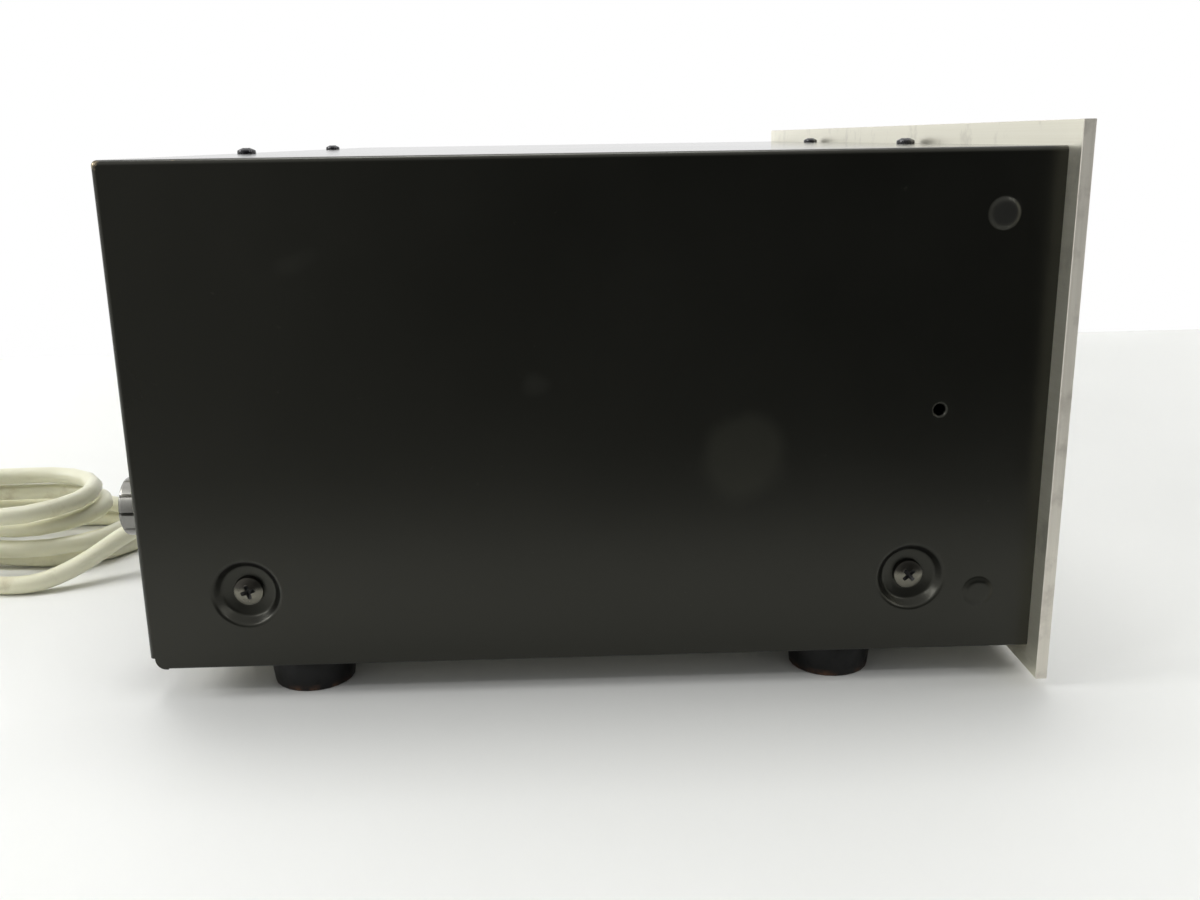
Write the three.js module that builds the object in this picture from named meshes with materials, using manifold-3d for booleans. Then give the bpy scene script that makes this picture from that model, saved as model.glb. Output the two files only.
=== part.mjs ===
// A free-standing stereo tuner: a folded steel case behind a thick aluminium front panel, with the
// string-driven tuning mechanism, switches, meters and rear connectors that such a tuner has.
// Millimetres, +Z up. The front faces -Y, the table is z = 0, and the feet stand on it.
import * as THREE from "three";
import { mergeVertices } from "three/addons/utils/BufferGeometryUtils.js";
import Module from "manifold-3d";

const wasm = await Module();
wasm.setup();

// Clearances that every piece shares.
const gap = 0.3;
const overrun = 2;
const curveSteps = 3;

// The case. Heights in the case count from its underside, and depths from the back of the front panel.
const caseWidth = 431;
const caseHeight = 140;
const caseDepth = 250.6;
const coverSheet = 1.2;
const coverBend = 2.4;
const coverFlange = 9;
const coverFlangeRise = 3.4;
const coverCornerRadius = 3;
const panelThick = 3.3;
const panelSideMargin = 8;
const panelRise = 6.5;
const panelDrop = 6.9;
const footRadius = 12.35;
const footHeight = 9.65;
const footTaper = 0.8;
const footInset = 14.3;
const footFrontDepth = 54.5;
const footRearInset = 42.8;

// Fixings of the cover.
const sideScrewFrontDepth = 35.2;
const sideScrewRearInset = 28.8;
const sideScrewHeight = 22.1;
const sideScrewHeadRadius = 3.8;
const sideScrewHeadRise = 1.9;
const sideScrewShankRadius = 1.5;
const sideScrewShankReach = 4;
const cupMouthRadius = 8.15;
const cupBoreRadius = 6.5;
const cupDepth = 4.7;
const cupLipRise = 0.5;
const topScrewOffset = 84;
const topScrewFrontDepth = 4.7;
const topScrewRearInset = 6.1;
const topScrewHeadRadius = 3.3;
const topScrewHeadRise = 2;
const topScrewShankRadius = 1.5;
const topScrewShankReach = 5;
const driveRecessRadius = 1.1;
const driveRecessDepth = 1.1;
const dimpleRadius = 4.2;
const dimpleDepth = 0.6;
const dimpleDepthwise = 15.7;
const dimpleLowHeight = 17.2;
const dimpleTopInset = 17;
const sideHoleRadius = 1.5;
const sideHoleDepthwise = 29.6;
const sideHoleHeight = 70.4;

// The chassis inside the cover.
const chassisSheet = 1.2;
const trayWall = 34;
const ventLength = 34;
const ventWidth = 3.2;
const ventPitch = 8;
const ventCount = 7;
const subpanelDepth = 14;
const flangeDepth = 12;
const panelPostRadius = 4;

// The dial, its window and its scale.
const windowLeftInset = 29.5;
const windowRightInset = 117.5;
const windowHeight = 40;
const windowTopInset = 34;
const windowRadius = 3;
const glassThick = 2;
const glassLap = 5;
const scaleFromMeters = 8;
const scaleFromWindow = 4;
const scaleHeight = 36;
const scaleThick = 1.2;
const scaleDepth = 9;
const pointerWidth = 1.4;
const pointerThick = 0.8;
const pointerDepth = 6.2;
const railThick = 3;
const railMargin = 12;
const meterWidth = 34;
const meterHeight = 32;
const meterLength = 20;
const meterPitch = 40;
const meterFirstInset = 52.5;
const meterFront = 4.5;
const meterRim = 2;
const meterWell = 4;
const needleLength = 20;
const needleWidth = 0.9;
const needleThick = 0.6;
const needleHubRadius = 1.8;
const needlePinRadius = 0.7;
const needleZeroDegrees = 35;

// The string drive: knob and flywheel on one shaft, drum on the variable capacitor's shaft.
const tuningInset = 57.5;
const tuningKnobRadius = 26;
const tuningKnobLength = 20;
const tuningKnobFlutes = 32;
const tuningShaftRadius = 3;
const tuningBushRadius = 6;
const flywheelRadius = 20;
const flywheelLength = 12;
const flywheelWeb = 3;
const stringRadius = 0.5;
const stringDepth = 20.6;
const drumScaleMargin = 47;
const drumFloorMargin = 6.5;
const drumWidth = 5;
const drumFromShield = 80;
const drumHeight = 53;
const pulleyRunRadius = 5;
const pulleyWidth = 3.6;
const pulleyTopInset = 18;
const pulleyFromScaleLeft = 2;
const pulleyFromScaleRight = 6;
const grooveDepth = 1.2;
const pinRadius = 1.5;
const drumSpokes = 5;
const spokeWidth = 7;
const stringStepsPerRadian = 8;
const knobSkirtShare = 0.1;
const knobGripShare = 0.95;
const knobCapShare = 0.88;
const knobFluteShare = 0.035;

// The variable capacitor.
const gangWidth = 46;
const gangHeight = 42;
const gangEndThick = 2;
const gangFront = 30;
const gangLength = 52;
const gangShaftRadius = 3;
const rotorRadius = 17;
const rotorPlates = 8;
const plateThick = 0.8;
const platePitch = 4.8;
const statorInnerRadius = 5.5;
const statorBarThick = 4;
const gangFootThick = 2;

// Front controls below the dial.
const lowerRowShare = 0.3;
const leverInset = { power_lever: 30.5, muting_lever: 87.5, mode_lever: 131.5 };
const leverPivotDepth = 6;
const leverBallRadius = 3.2;
const leverNeckRadius = 1.6;
const leverTipRadius = 2.8;
const leverReach = 22;
const leverTiltDegrees = 12;
const leverSlotWidth = 6.6;
const leverSlotHeight = 12;
const powerSwitchSize = { across: 16, along: 26, high: 24 };
const leverSwitchSize = { across: 60, along: 16, high: 18 };
const selectorKnobRadius = 15;
const selectorKnobLength = 18;
const selectorKnobFlutes = 20;
const selectorSwitchRadius = 17;
const selectorSwitchLength = 26;

// Inside: power supply and boards.
const coreWidth = 66;
const coreHeight = 55;
const coreDepth = 30;
const coreLimb = 11;
const coreInset = 55.5;
const coreRearInset = 34.6;
const coilBulge = 9;
const coilGap = 0.4;
const coreFootThick = 2;
const boardFromCore = 61;
const boardRightInset = 64.5;
const boardRearInset = 24.6;
const boardThick = 1.6;
const boardFront = 96;
const boardLift = 9;
const boardPostRadius = 3.5;
const canSize = 10;
const canHeight = 14;
const canCount = 6;
const canPitch = 24;
const reservoirRadius = 11;
const reservoirHeight = 42;
const shieldWidth = 62;
const shieldLength = 48;
const shieldHeight = 30;
const shieldInset = 95.5;
const shieldFront = 44;
const lampBoxInset = 6;
const lampBoxHeight = 10;
const lampBoxThick = 3.3;

// The rear.
const rearSet = 0.3;
const levelKnobInset = 28;
const levelKnobHeight = 40;
const levelKnobRadius = 8.7;
const levelKnobFlutes = 10;
const levelKnobReach = 13.9;
const levelPotRadius = 12;
const levelPotLength = 14;
const bushingInset = 108;
const bushingHeight = 10.5;
const bushingFlangeRadius = 8;
const bushingFlangeThick = 3;
const bushingNeckRadius = 6.2;
const bushingTipRadius = 4.4;
const bushingReach = 22;
const jackPlateWidth = 74;
const jackPlateHeight = 34;
const jackAcross = -30;
const jackHeight = 52;
const jackPitch = 18;
const jackRadius = 4.15;
const jackPinRadius = 1.6;
const jackReach = 9;
const terminalWidth = 84;
const terminalHeight = 18;
const terminalInset = 75.5;
const terminalRow = 44;
const terminalPitch = 16;
const terminalCount = 5;
const terminalScrewRadius = 3.6;
const rodLength = 150;
const rodRadius = 7;
const rodTopInset = 32;
const rodPivotInset = 29.5;
const rodStandOff = 19;
const rodBracketThick = 2;
const rodBracketHeight = 30;
const rodHubRadius = 6;

// The mains lead: 1.8 m of 6.4 mm round cord.
const cordRadius = 3.2;
const cordSides = 8;
const hankSides = 6;
const hankLayers = 4;
const hankStepsPerTurn = 28;
const hankRun = 127;
const hankOuterRadius = 31;
const hankStep = 8.4;
const hankLayerStep = 7.2;
const hankBehindCase = 43.4;
const hankFoldShift = 6;
const hankFromBushing = 30;
const hankSideShift = -4;
const hankWaist = 6;
const hankEndTurns = 3.88;
const hankMeasureSteps = 240;
const tieWidth = 9;
const tieThick = 1;
const plugFromBushing = 38.5;
const plugBehindCase = 169.4;
const plugWidth = 25;
const plugHeight = 17;
const plugLength = 33;
const plugRelief = 14;
const plugCornerRadius = 5;
const floorGap = 0.05;
const bladeWidth = 6.4;
const bladeThick = 1.6;
const bladeLength = 17;
const bladePitch = 12.7;

// Colours and finishes, by part.
const finishes = {
  blackPaint: { color: 0x1a1a18, roughness: 0.5, metalness: 0.2 },
  satinAluminium: { color: 0xc4c2b4, roughness: 0.35, metalness: 1 },
  zincSteel: { color: 0xa8a69a, roughness: 0.4, metalness: 0.9 },
  blackSteel: { color: 0x2c2c2a, roughness: 0.35, metalness: 0.8 },
  blackRubber: { color: 0x161616, roughness: 0.8, metalness: 0 },
  blackPlastic: { color: 0x1c1c1e, roughness: 0.35, metalness: 0 },
  clearGlass: { color: 0xdfe6e4, roughness: 0.05, metalness: 0 },
  dialGreen: { color: 0x20302c, roughness: 0.5, metalness: 0 },
  pointerRed: { color: 0xd0401c, roughness: 0.4, metalness: 0 },
  brass: { color: 0xb89a5a, roughness: 0.35, metalness: 1 },
  whitePlastic: { color: 0xdcd8c8, roughness: 0.5, metalness: 0 },
  board: { color: 0x8a6a34, roughness: 0.6, metalness: 0 },
  copperCoil: { color: 0xc9a34a, roughness: 0.5, metalness: 0 },
  laminatedIron: { color: 0x4a4a4c, roughness: 0.5, metalness: 0.7 },
  creamCord: { color: 0xd8d5bd, roughness: 0.45, metalness: 0 },
};

const rearPanelFace = caseDepth - coverSheet - rearSet;
const rearPanelInner = rearPanelFace - chassisSheet;
const chassisHalf = caseWidth / 2 - coverSheet - cupDepth - gap;
const chassisTop = caseHeight - coverSheet - gap;
const panelMid = (caseHeight + panelRise - panelDrop) / 2;
const panelHeight = caseHeight + panelRise + panelDrop;
const panelWidth = caseWidth + panelSideMargin * 2;

// Places that keep their distance from the top, the rear or a side of the case, or from a neighbour.
const dimpleHighHeight = caseHeight - dimpleTopInset;
const windowMid = caseHeight - windowTopInset;
const tuningHeight = windowMid;
const lowerRowHeight = caseHeight * lowerRowShare;
const rodHeight = caseHeight - rodTopInset;
const pulleyHeight = caseHeight - pulleyTopInset;
const stringLine = pulleyHeight + pulleyRunRadius;
const leftSide = -caseWidth / 2;
const rightSide = caseWidth / 2;
const footRearDepth = caseDepth - footRearInset;
const sideScrewRearDepth = caseDepth - sideScrewRearInset;
const topScrewRearDepth = caseDepth - topScrewRearInset;
const windowLeft = leftSide + windowLeftInset;
const windowRight = rightSide - windowRightInset;
const windowWidth = windowRight - windowLeft;
const windowCentre = (windowLeft + windowRight) / 2;
const meterFirstCentre = leftSide + meterFirstInset;
const scaleLeft = meterFirstCentre + meterPitch + meterWidth / 2 + scaleFromMeters;
const scaleRight = windowRight - scaleFromWindow;
const scaleWidth = scaleRight - scaleLeft;
const scaleCentre = (scaleLeft + scaleRight) / 2;
const drumRoomAcross = (scaleWidth - drumScaleMargin) / Math.PI;
const drumRoomUp = drumHeight - drumFloorMargin;
const drumRunRadius = Math.floor(Math.min(drumRoomAcross, drumRoomUp));
const pulleyLeftAcross = scaleLeft + pulleyFromScaleLeft;
const pulleyRightAcross = scaleRight + pulleyFromScaleRight;
const tuningAcross = rightSide - tuningInset;
const selectorAcross = tuningAcross;
const leverAcross = Object.fromEntries(
  Object.entries(leverInset).map(([name, inset]) => [name, leftSide + inset]),
);
const coreAcross = leftSide + coreInset;
const coreRear = caseDepth - coreRearInset;
const boardLeft = coreAcross + boardFromCore;
const boardRight = rightSide - boardRightInset;
const boardWidth = boardRight - boardLeft;
const boardAcross = (boardLeft + boardRight) / 2;
const boardLength = caseDepth - boardRearInset - boardFront;
const shieldAcross = rightSide - shieldInset;
const drumAcross = shieldAcross - drumFromShield;
const lampBoxWidth = scaleWidth - lampBoxInset * 2;
const levelKnobAcross = leftSide + levelKnobInset;
const bushingAcross = leftSide + bushingInset;
const terminalAcross = rightSide - terminalInset;
const rodPivotAcross = rightSide - rodPivotInset;
const hankNearApexDepth = caseDepth + hankBehindCase;
const hankCentreAcross = bushingAcross + hankFromBushing;

// A closed surface as a solid: only positions are kept, shared corners are merged, and it faces out.
function solidOf(geometry) {
  const bare = new THREE.BufferGeometry();
  bare.setAttribute("position", geometry.getAttribute("position"));
  if (geometry.index) bare.setIndex(geometry.index);
  const merged = mergeVertices(bare);
  const triVerts = new Uint32Array(merged.index.array);
  const vertProperties = new Float32Array(merged.attributes.position.array);
  const made = new wasm.Manifold(new wasm.Mesh({ numProp: 3, vertProperties, triVerts }));
  if (made.volume() > 0) return made;
  for (let i = 0; i < triVerts.length; i += 3) {
    const first = triVerts[i];
    triVerts[i] = triVerts[i + 1];
    triVerts[i + 1] = first;
  }
  return new wasm.Manifold(new wasm.Mesh({ numProp: 3, vertProperties, triVerts }));
}

function geometryOf(solid) {
  const made = solid.getMesh();
  const geometry = new THREE.BufferGeometry();
  geometry.setAttribute("position", new THREE.BufferAttribute(new Float32Array(made.vertProperties), 3));
  geometry.setIndex(new THREE.BufferAttribute(new Uint32Array(made.triVerts), 1));
  return geometry;
}

function joined(first, ...others) {
  return others.reduce((whole, next) => whole.add(next), first);
}

function cutBy(first, ...others) {
  return others.reduce((whole, next) => whole.subtract(next), first);
}

// Outlines: a rectangle about a centre, with round corners if a radius is given, and a circle.
function rectangle(width, height, across = 0, up = 0, radius = 0, steps = 3) {
  const shape = new THREE.Shape();
  const right = across + width / 2;
  const left = across - width / 2;
  const top = up + height / 2;
  const low = up - height / 2;
  if (radius === 0) {
    shape.moveTo(left, low).lineTo(right, low).lineTo(right, top).lineTo(left, top).closePath();
    return shape;
  }
  const corners = [
    [right - radius, low + radius, -1],
    [right - radius, top - radius, 0],
    [left + radius, top - radius, 1],
    [left + radius, low + radius, 2],
  ];
  const points = corners.flatMap(([x, y, quarter]) =>
    Array.from({ length: steps + 1 }, (_, i) => {
      const angle = ((quarter + i / steps) * Math.PI) / 2;
      return new THREE.Vector2(x + radius * Math.cos(angle), y + radius * Math.sin(angle));
    }),
  );
  shape.setFromPoints(points);
  return shape;
}

function circle(radius, across = 0, up = 0, sides = 16) {
  const points = Array.from({ length: sides }, (_, i) => {
    const angle = ((i + 1 / 2) / sides) * Math.PI * 2;
    return new THREE.Vector2(across + radius * Math.cos(angle), up + radius * Math.sin(angle));
  });
  return new THREE.Shape(points);
}

// A round outline whose edge has grooves: three points to a flute.
function fluted(radius, count, depth) {
  const shares = [0, 1, 1, 0];
  const points = Array.from({ length: count * 4 }, (_, i) => {
    const angle = (i / (count * 4)) * Math.PI * 2;
    const reach = radius - depth * shares[i % 4];
    return new THREE.Vector2(reach * Math.cos(angle), reach * Math.sin(angle));
  });
  return new THREE.Shape(points);
}

function withHoles(outline, ...holes) {
  outline.holes.push(...holes);
  return outline;
}

// An outline pushed out from one place to another along an axis of the part, with its holes cut through.
function prism(shape, from, to, acrossAxis, upAxis, alongAxis) {
  const turn = new THREE.Matrix4().makeBasis(acrossAxis, upAxis, alongAxis);
  const pushed = (outline, start, end) => {
    const settings = { depth: end - start, bevelEnabled: false, curveSegments: curveSteps };
    const geometry = new THREE.ExtrudeGeometry(outline, settings);
    geometry.translate(0, 0, start);
    geometry.applyMatrix4(turn);
    return solidOf(geometry);
  };
  const outline = shape.clone();
  outline.holes = [];
  const cuts = shape.holes.map((hole) => pushed(hole, from - overrun, to + overrun));
  return cutBy(pushed(outline, from, to), ...cuts);
}

const alongX = new THREE.Vector3(1, 0, 0);
const alongY = new THREE.Vector3(0, 1, 0);
const alongZ = new THREE.Vector3(0, 0, 1);

// The outline lies flat, between two heights.
function flat(shape, low, high) {
  return prism(shape, low, high, alongX, alongY, alongZ);
}

// The outline is drawn as seen from the front, and reaches from one depth to another.
function upright(shape, near, far) {
  return prism(shape, near, far, alongX, alongZ, alongY);
}

// The outline is drawn in depth and height, and reaches from left to right.
function sideways(shape, left, right) {
  return prism(shape, left, right, alongY, alongZ, alongX);
}

function box(across, near, low, width, length, height) {
  return flat(rectangle(width, length, across + width / 2, near + length / 2), low, low + height);
}

// A turned piece: its profile is [radius, position along the axis], from the axis back to the axis.
function turned(profile, axis, sides = 16) {
  const points = profile.map(([radius, along]) => new THREE.Vector2(radius, along));
  const geometry = new THREE.LatheGeometry(points, sides);
  if (axis === "z") geometry.rotateX(Math.PI / 2);
  if (axis === "x") geometry.rotateZ(-Math.PI / 2);
  return solidOf(geometry);
}

// A tube lofted along a path of points, with its end rings capped or joined to each other.
function tube(points, radius, sides, closed = false) {
  const rings = [];
  let side = new THREE.Vector3(0, 0, 1);
  points.forEach((point, i) => {
    const before = closed ? points.at(i - 1) : points[Math.max(i - 1, 0)];
    const after = closed ? points[(i + 1) % points.length] : points[Math.min(i + 1, points.length - 1)];
    const along = after.clone().sub(before).normalize();
    side = side.clone().addScaledVector(along, -side.dot(along)).normalize();
    const other = along.clone().cross(side);
    for (let k = 0; k < sides; k++) {
      const angle = (k / sides) * Math.PI * 2;
      const corner = point.clone();
      corner.addScaledVector(side, radius * Math.cos(angle));
      corner.addScaledVector(other, radius * Math.sin(angle));
      rings.push(corner);
    }
  });
  const faces = [];
  const spans = closed ? points.length : points.length - 1;
  for (let i = 0; i < spans; i++)
    for (let k = 0; k < sides; k++) {
      const next = (k + 1) % sides;
      const ahead = ((i + 1) % points.length) * sides;
      faces.push(i * sides + k, i * sides + next, ahead + k);
      faces.push(i * sides + next, ahead + next, ahead + k);
    }
  if (!closed)
    for (let k = 1; k < sides - 1; k++) {
      const last = (points.length - 1) * sides;
      faces.push(0, k + 1, k);
      faces.push(last, last + k, last + k + 1);
    }
  const geometry = new THREE.BufferGeometry().setFromPoints(rings);
  geometry.setIndex(faces);
  return solidOf(geometry);
}

// The assembly. Everything in the case is placed from the case's underside and the panel's back.
const tuner = new THREE.Group();
const inCase = new THREE.Group();
tuner.add(inCase);

function place(name, solid, finish, group = inCase) {
  const material = new THREE.MeshStandardMaterial(finish);
  const mesh = new THREE.Mesh(geometryOf(solid), material);
  mesh.name = name;
  group.add(mesh);
}

const sides = [-1, 1];
const sideScrewDepths = [sideScrewFrontDepth, sideScrewRearDepth];
const topScrewDepths = [topScrewFrontDepth, topScrewRearDepth];

// The cover: one folded sheet with two sides and a top, turned in at the rear and along its lower edges,
// with a pressed cup for each side screw, two shallow round pressings and a small hole in each side.
function coverSection(half, top, radius) {
  const shape = new THREE.Shape();
  shape.moveTo(-half, 0);
  shape.lineTo(half, 0);
  shape.absarc(half - radius, top - radius, radius, 0, Math.PI / 2);
  shape.absarc(radius - half, top - radius, radius, Math.PI / 2, Math.PI);
  return shape;
}

function bonnetCover() {
  const half = caseWidth / 2;
  const inner = half - coverSheet;
  const shell = upright(coverSection(half, caseHeight, coverBend), 0, caseDepth);
  const roomTop = caseHeight - coverSheet;
  const room = upright(
    coverSection(inner, roomTop, coverBend - coverSheet), -overrun, caseDepth - coverSheet,
  );
  const mouthTop = roomTop - coverFlange;
  const rearMouth = upright(
    rectangle((inner - coverFlange) * 2, mouthTop * 2), caseDepth - coverSheet * 2, caseDepth + overrun,
  );
  let cover = cutBy(shell, room, rearMouth);
  const radius = coverCornerRadius;
  const cornerBlock = box(
    -caseWidth, caseDepth - radius, -overrun, caseWidth * 2, radius + overrun, radius + overrun,
  );
  const cornerRound = sideways(circle(radius, caseDepth - radius, radius, 24), -caseWidth * 2, caseWidth * 2);
  cover = cutBy(cover, cutBy(cornerBlock, cornerRound));
  for (const side of sides) {
    const lipWidth = half - chassisHalf - gap;
    const lip = box(side > 0 ? half - lipWidth : -half, 0, 0, lipWidth, caseDepth - radius, coverSheet);
    cover = joined(cover, lip);
    const flangeFoot = box(
      side > 0 ? inner - coverFlange - overrun : -inner - overrun, caseDepth - coverSheet - overrun, -overrun,
      coverFlange + overrun * 2, coverSheet + overrun * 2, coverFlangeRise + overrun,
    );
    const keepSide = box(
      side > 0 ? inner : -half - overrun, 0, -overrun * 2,
      coverSheet + overrun, caseDepth + overrun, caseHeight,
    );
    cover = cutBy(cover, cutBy(flangeFoot, keepSide));
    for (const depth of sideScrewDepths) {
      const mouth = turned(
        [
          [0, -overrun],
          [cupBoreRadius, -overrun],
          [cupBoreRadius, coverSheet + overrun],
          [0, coverSheet + overrun],
        ],
        "x", 16,
      );
      const cup = turned(
        [
          [sideScrewShankRadius + gap, cupDepth + coverSheet],
          [cupBoreRadius + coverSheet, cupDepth + coverSheet],
          [cupBoreRadius + coverSheet, coverSheet],
          [cupMouthRadius, 0],
          [cupBoreRadius + coverSheet, -cupLipRise],
          [cupBoreRadius, coverSheet / 2],
          [cupBoreRadius, cupDepth],
          [sideScrewShankRadius + gap, cupDepth],
          [sideScrewShankRadius + gap, cupDepth + coverSheet],
        ],
        "x", 16,
      );
      const moved = (solid) => {
        const facing = side < 0 ? solid : solid.mirror([1, 0, 0]);
        return facing.translate([side * half, depth, sideScrewHeight]);
      };
      cover = joined(cutBy(cover, moved(mouth)), moved(cup));
    }
    for (const height of [dimpleLowHeight, dimpleHighHeight]) {
      const dimple = sideways(
        circle(dimpleRadius, dimpleDepthwise, height, 14),
        side > 0 ? half - dimpleDepth : -half - overrun,
        side > 0 ? half + overrun : -half + dimpleDepth,
      );
      cover = cutBy(cover, dimple);
    }
    cover = cutBy(cover, sideways(
      circle(sideHoleRadius, sideHoleDepthwise, sideHoleHeight, 10),
      side > 0 ? inner - overrun : -half - overrun,
      side > 0 ? half + overrun : -inner + overrun,
    ));
    for (const depth of topScrewDepths) {
      const hole = flat(
        circle(topScrewShankRadius + gap, side * topScrewOffset, depth, 10),
        caseHeight - coverSheet - overrun,
        caseHeight + overrun,
      );
      cover = cutBy(cover, hole);
    }
  }
  return cover;
}

// The tray is a shallow folded pan under everything, with two rows of slots below the power supply
// and the boards.
const trayFront = chassisSheet + gap;
const trayRear = rearPanelInner - gap;

function chassisTray() {
  const floorShape = rectangle(chassisHalf * 2, trayRear - trayFront, 0, (trayRear + trayFront) / 2);
  for (const centre of [coreAcross, boardAcross])
    for (let i = 0; i < ventCount; i++) {
      const along = (trayFront + trayRear) / 2 + (i - (ventCount - 1) / 2) * ventPitch;
      floorShape.holes.push(rectangle(ventLength, ventWidth, centre, along));
    }
  let tray = flat(floorShape, 0, chassisSheet);
  for (const side of sides) {
    const wall = box(
      side > 0 ? chassisHalf - chassisSheet : -chassisHalf, trayFront, 0,
      chassisSheet, trayRear - trayFront, trayWall,
    );
    tray = joined(tray, wall);
    for (const depth of sideScrewDepths)
      tray = cutBy(tray, sideways(
        circle(sideScrewShankRadius + gap, depth, sideScrewHeight, 10),
        side > 0 ? chassisHalf - chassisSheet - overrun : -chassisHalf - overrun,
        side > 0 ? chassisHalf + overrun : -chassisHalf + chassisSheet + overrun,
      ));
  }
  return tray;
}

// An upright sheet across the chassis with a flange folded level at its top, where the cover's top
// screws bite.
function uprightSheet(face, flangeTowards, holes, screwDepth) {
  const low = chassisSheet + gap;
  const width = (chassisHalf - chassisSheet - gap) * 2;
  const sheet = upright(
    withHoles(rectangle(width, chassisTop - low, 0, (chassisTop + low) / 2), ...holes),
    face,
    face + chassisSheet,
  );
  const near = flangeTowards < 0 ? face - flangeDepth : face;
  let flange = box(
    -width / 2, near, chassisTop - chassisSheet, width, flangeDepth + chassisSheet, chassisSheet,
  );
  for (const side of sides)
    flange = cutBy(flange, flat(
      circle(topScrewShankRadius + gap, side * topScrewOffset, screwDepth, 10),
      chassisTop - chassisSheet - overrun,
      chassisTop + overrun,
    ));
  return joined(sheet, flange);
}

function rearPanel() {
  const holes = [
    circle(levelPotRadius / 3 + gap, levelKnobAcross, levelKnobHeight, 12),
    circle(bushingNeckRadius + gap, bushingAcross, bushingHeight, 16),
  ];
  return uprightSheet(rearPanelInner, -1, holes, topScrewRearDepth);
}

const meterCentres = [meterFirstCentre, meterFirstCentre + meterPitch];
const pointerTravel = (drumRunRadius * Math.PI) / 2;
const armSlotHeight = 7;
const armSlotMid = stringLine + armSlotHeight / 2 + stringRadius + gap;

// The subpanel carries the dial, the meters, the switches and the tuning shaft's bush. The long
// slot near its top lets the pointer's arm through from the string behind.
function frontSubpanel() {
  const holes = [
    circle(tuningBushRadius + gap, tuningAcross, tuningHeight, 16),
    circle(selectorSwitchRadius / 3 + gap, selectorAcross, lowerRowHeight, 16),
    rectangle(pointerTravel * 2 + railMargin, armSlotHeight, scaleCentre, armSlotMid),
    ...meterCentres.map((centre) =>
      rectangle(meterWidth + gap * 2, meterHeight + gap * 2, centre, windowMid),
    ),
    ...Object.values(leverAcross).map((across) =>
      rectangle(leverSlotWidth, leverSlotHeight, across, lowerRowHeight),
    ),
  ];
  let sheet = uprightSheet(subpanelDepth, -1, holes, topScrewFrontDepth);
  for (const side of sides)
    for (const height of [chassisSheet + gap + panelPostRadius * 2, windowMid - windowHeight]) {
      const post = upright(
        circle(panelPostRadius, side * (chassisHalf - panelPostRadius * 2), height, 10),
        gap,
        subpanelDepth + chassisSheet / 2,
      );
      sheet = joined(sheet, post);
    }
  for (const across of [pulleyLeftAcross, pulleyRightAcross])
    sheet = joined(sheet, pulleyPin().translate([across, 0, pulleyHeight]));
  return sheet;
}

// A shouldered stub pin, riveted to the subpanel, with a head that keeps the pulley on.
function pulleyPin() {
  const root = subpanelDepth + chassisSheet / 2;
  const shoulder = stringDepth - pulleyWidth / 2 - gap;
  const pinFar = stringDepth + pulleyWidth / 2 + gap;
  return turned(
    [
      [0, root],
      [pinRadius * 2, root],
      [pinRadius * 2, shoulder],
      [pinRadius, shoulder],
      [pinRadius, pinFar],
      [pinRadius * 2, pinFar],
      [pinRadius * 2, pinFar + gap * 3],
      [0, pinFar + gap * 3],
    ],
    "y", 12,
  );
}

function frontPanel() {
  const outline = rectangle(panelWidth, panelHeight, 0, panelMid);
  const slots = Object.values(leverAcross).map((across) =>
    rectangle(leverSlotWidth, leverSlotHeight, across, lowerRowHeight, leverSlotWidth / 3, 2),
  );
  outline.holes.push(
    rectangle(windowWidth, windowHeight, windowCentre, windowMid, windowRadius),
    circle(tuningBushRadius + gap, tuningAcross, tuningHeight, 20),
    circle(selectorSwitchRadius / 3 + gap, selectorAcross, lowerRowHeight, 16),
    ...slots,
  );
  return upright(outline, -panelThick, 0);
}

place("front_panel", frontPanel(), finishes.satinAluminium);
place("bonnet_cover", bonnetCover(), finishes.blackPaint);
place("chassis_tray", chassisTray(), finishes.zincSteel);
place("rear_panel", rearPanel(), finishes.blackPaint);
place("front_subpanel", frontSubpanel(), finishes.zincSteel);

// Four round feet, slightly smaller at the floor, sunk at the middle for their screws.
const footCentreAcross = caseWidth / 2 - footInset;
const footPlaces = {
  foot_front_left: [-footCentreAcross, footFrontDepth],
  foot_front_right: [footCentreAcross, footFrontDepth],
  foot_rear_left: [-footCentreAcross, footRearDepth],
  foot_rear_right: [footCentreAcross, footRearDepth],
};
for (const [name, [across, depth]] of Object.entries(footPlaces)) {
  const sunk = footHeight / 2;
  const foot = turned(
    [
      [0, -gap],
      [footRadius, -gap],
      [footRadius, -footHeight / 4],
      [footRadius - footTaper, -footHeight],
      [footRadius / 3, -footHeight],
      [footRadius / 3, -sunk],
      [0, -sunk],
    ],
    "z", 24,
  );
  place(name, foot.translate([across, depth, 0]), finishes.blackRubber);
}

// A cross-recessed screw whose head stands along +Z from zero and whose shank goes down.
function crossScrew(headRadius, headRise, shankRadius, shankReach) {
  const screw = turned(
    [
      [0, -shankReach],
      [shankRadius, -shankReach],
      [shankRadius, 0],
      [headRadius, 0],
      [headRadius, headRise / 2],
      [headRadius * Math.cos(Math.PI / 6), headRise * Math.cos(Math.PI / 8)],
      [headRadius / 2, headRise],
      [0, headRise],
    ],
    "z", 10,
  );
  const slot = driveRecessRadius / 2;
  const arm = box(
    -driveRecessRadius, -slot / 2, headRise - driveRecessDepth,
    driveRecessRadius * 2, slot, driveRecessDepth * 2,
  );
  return cutBy(screw, joined(arm, arm.rotate([0, 0, 90])));
}

for (const [end, depth] of [["front", topScrewFrontDepth], ["rear", topScrewRearDepth]])
  for (const [hand, side] of [["left", -1], ["right", 1]]) {
    const screw = crossScrew(topScrewHeadRadius, topScrewHeadRise, topScrewShankRadius, topScrewShankReach);
    const seated = screw.translate([side * topScrewOffset, depth, caseHeight + gap / 3]);
    place(`top_screw_${end}_${hand}`, seated, finishes.blackSteel);
  }

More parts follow.
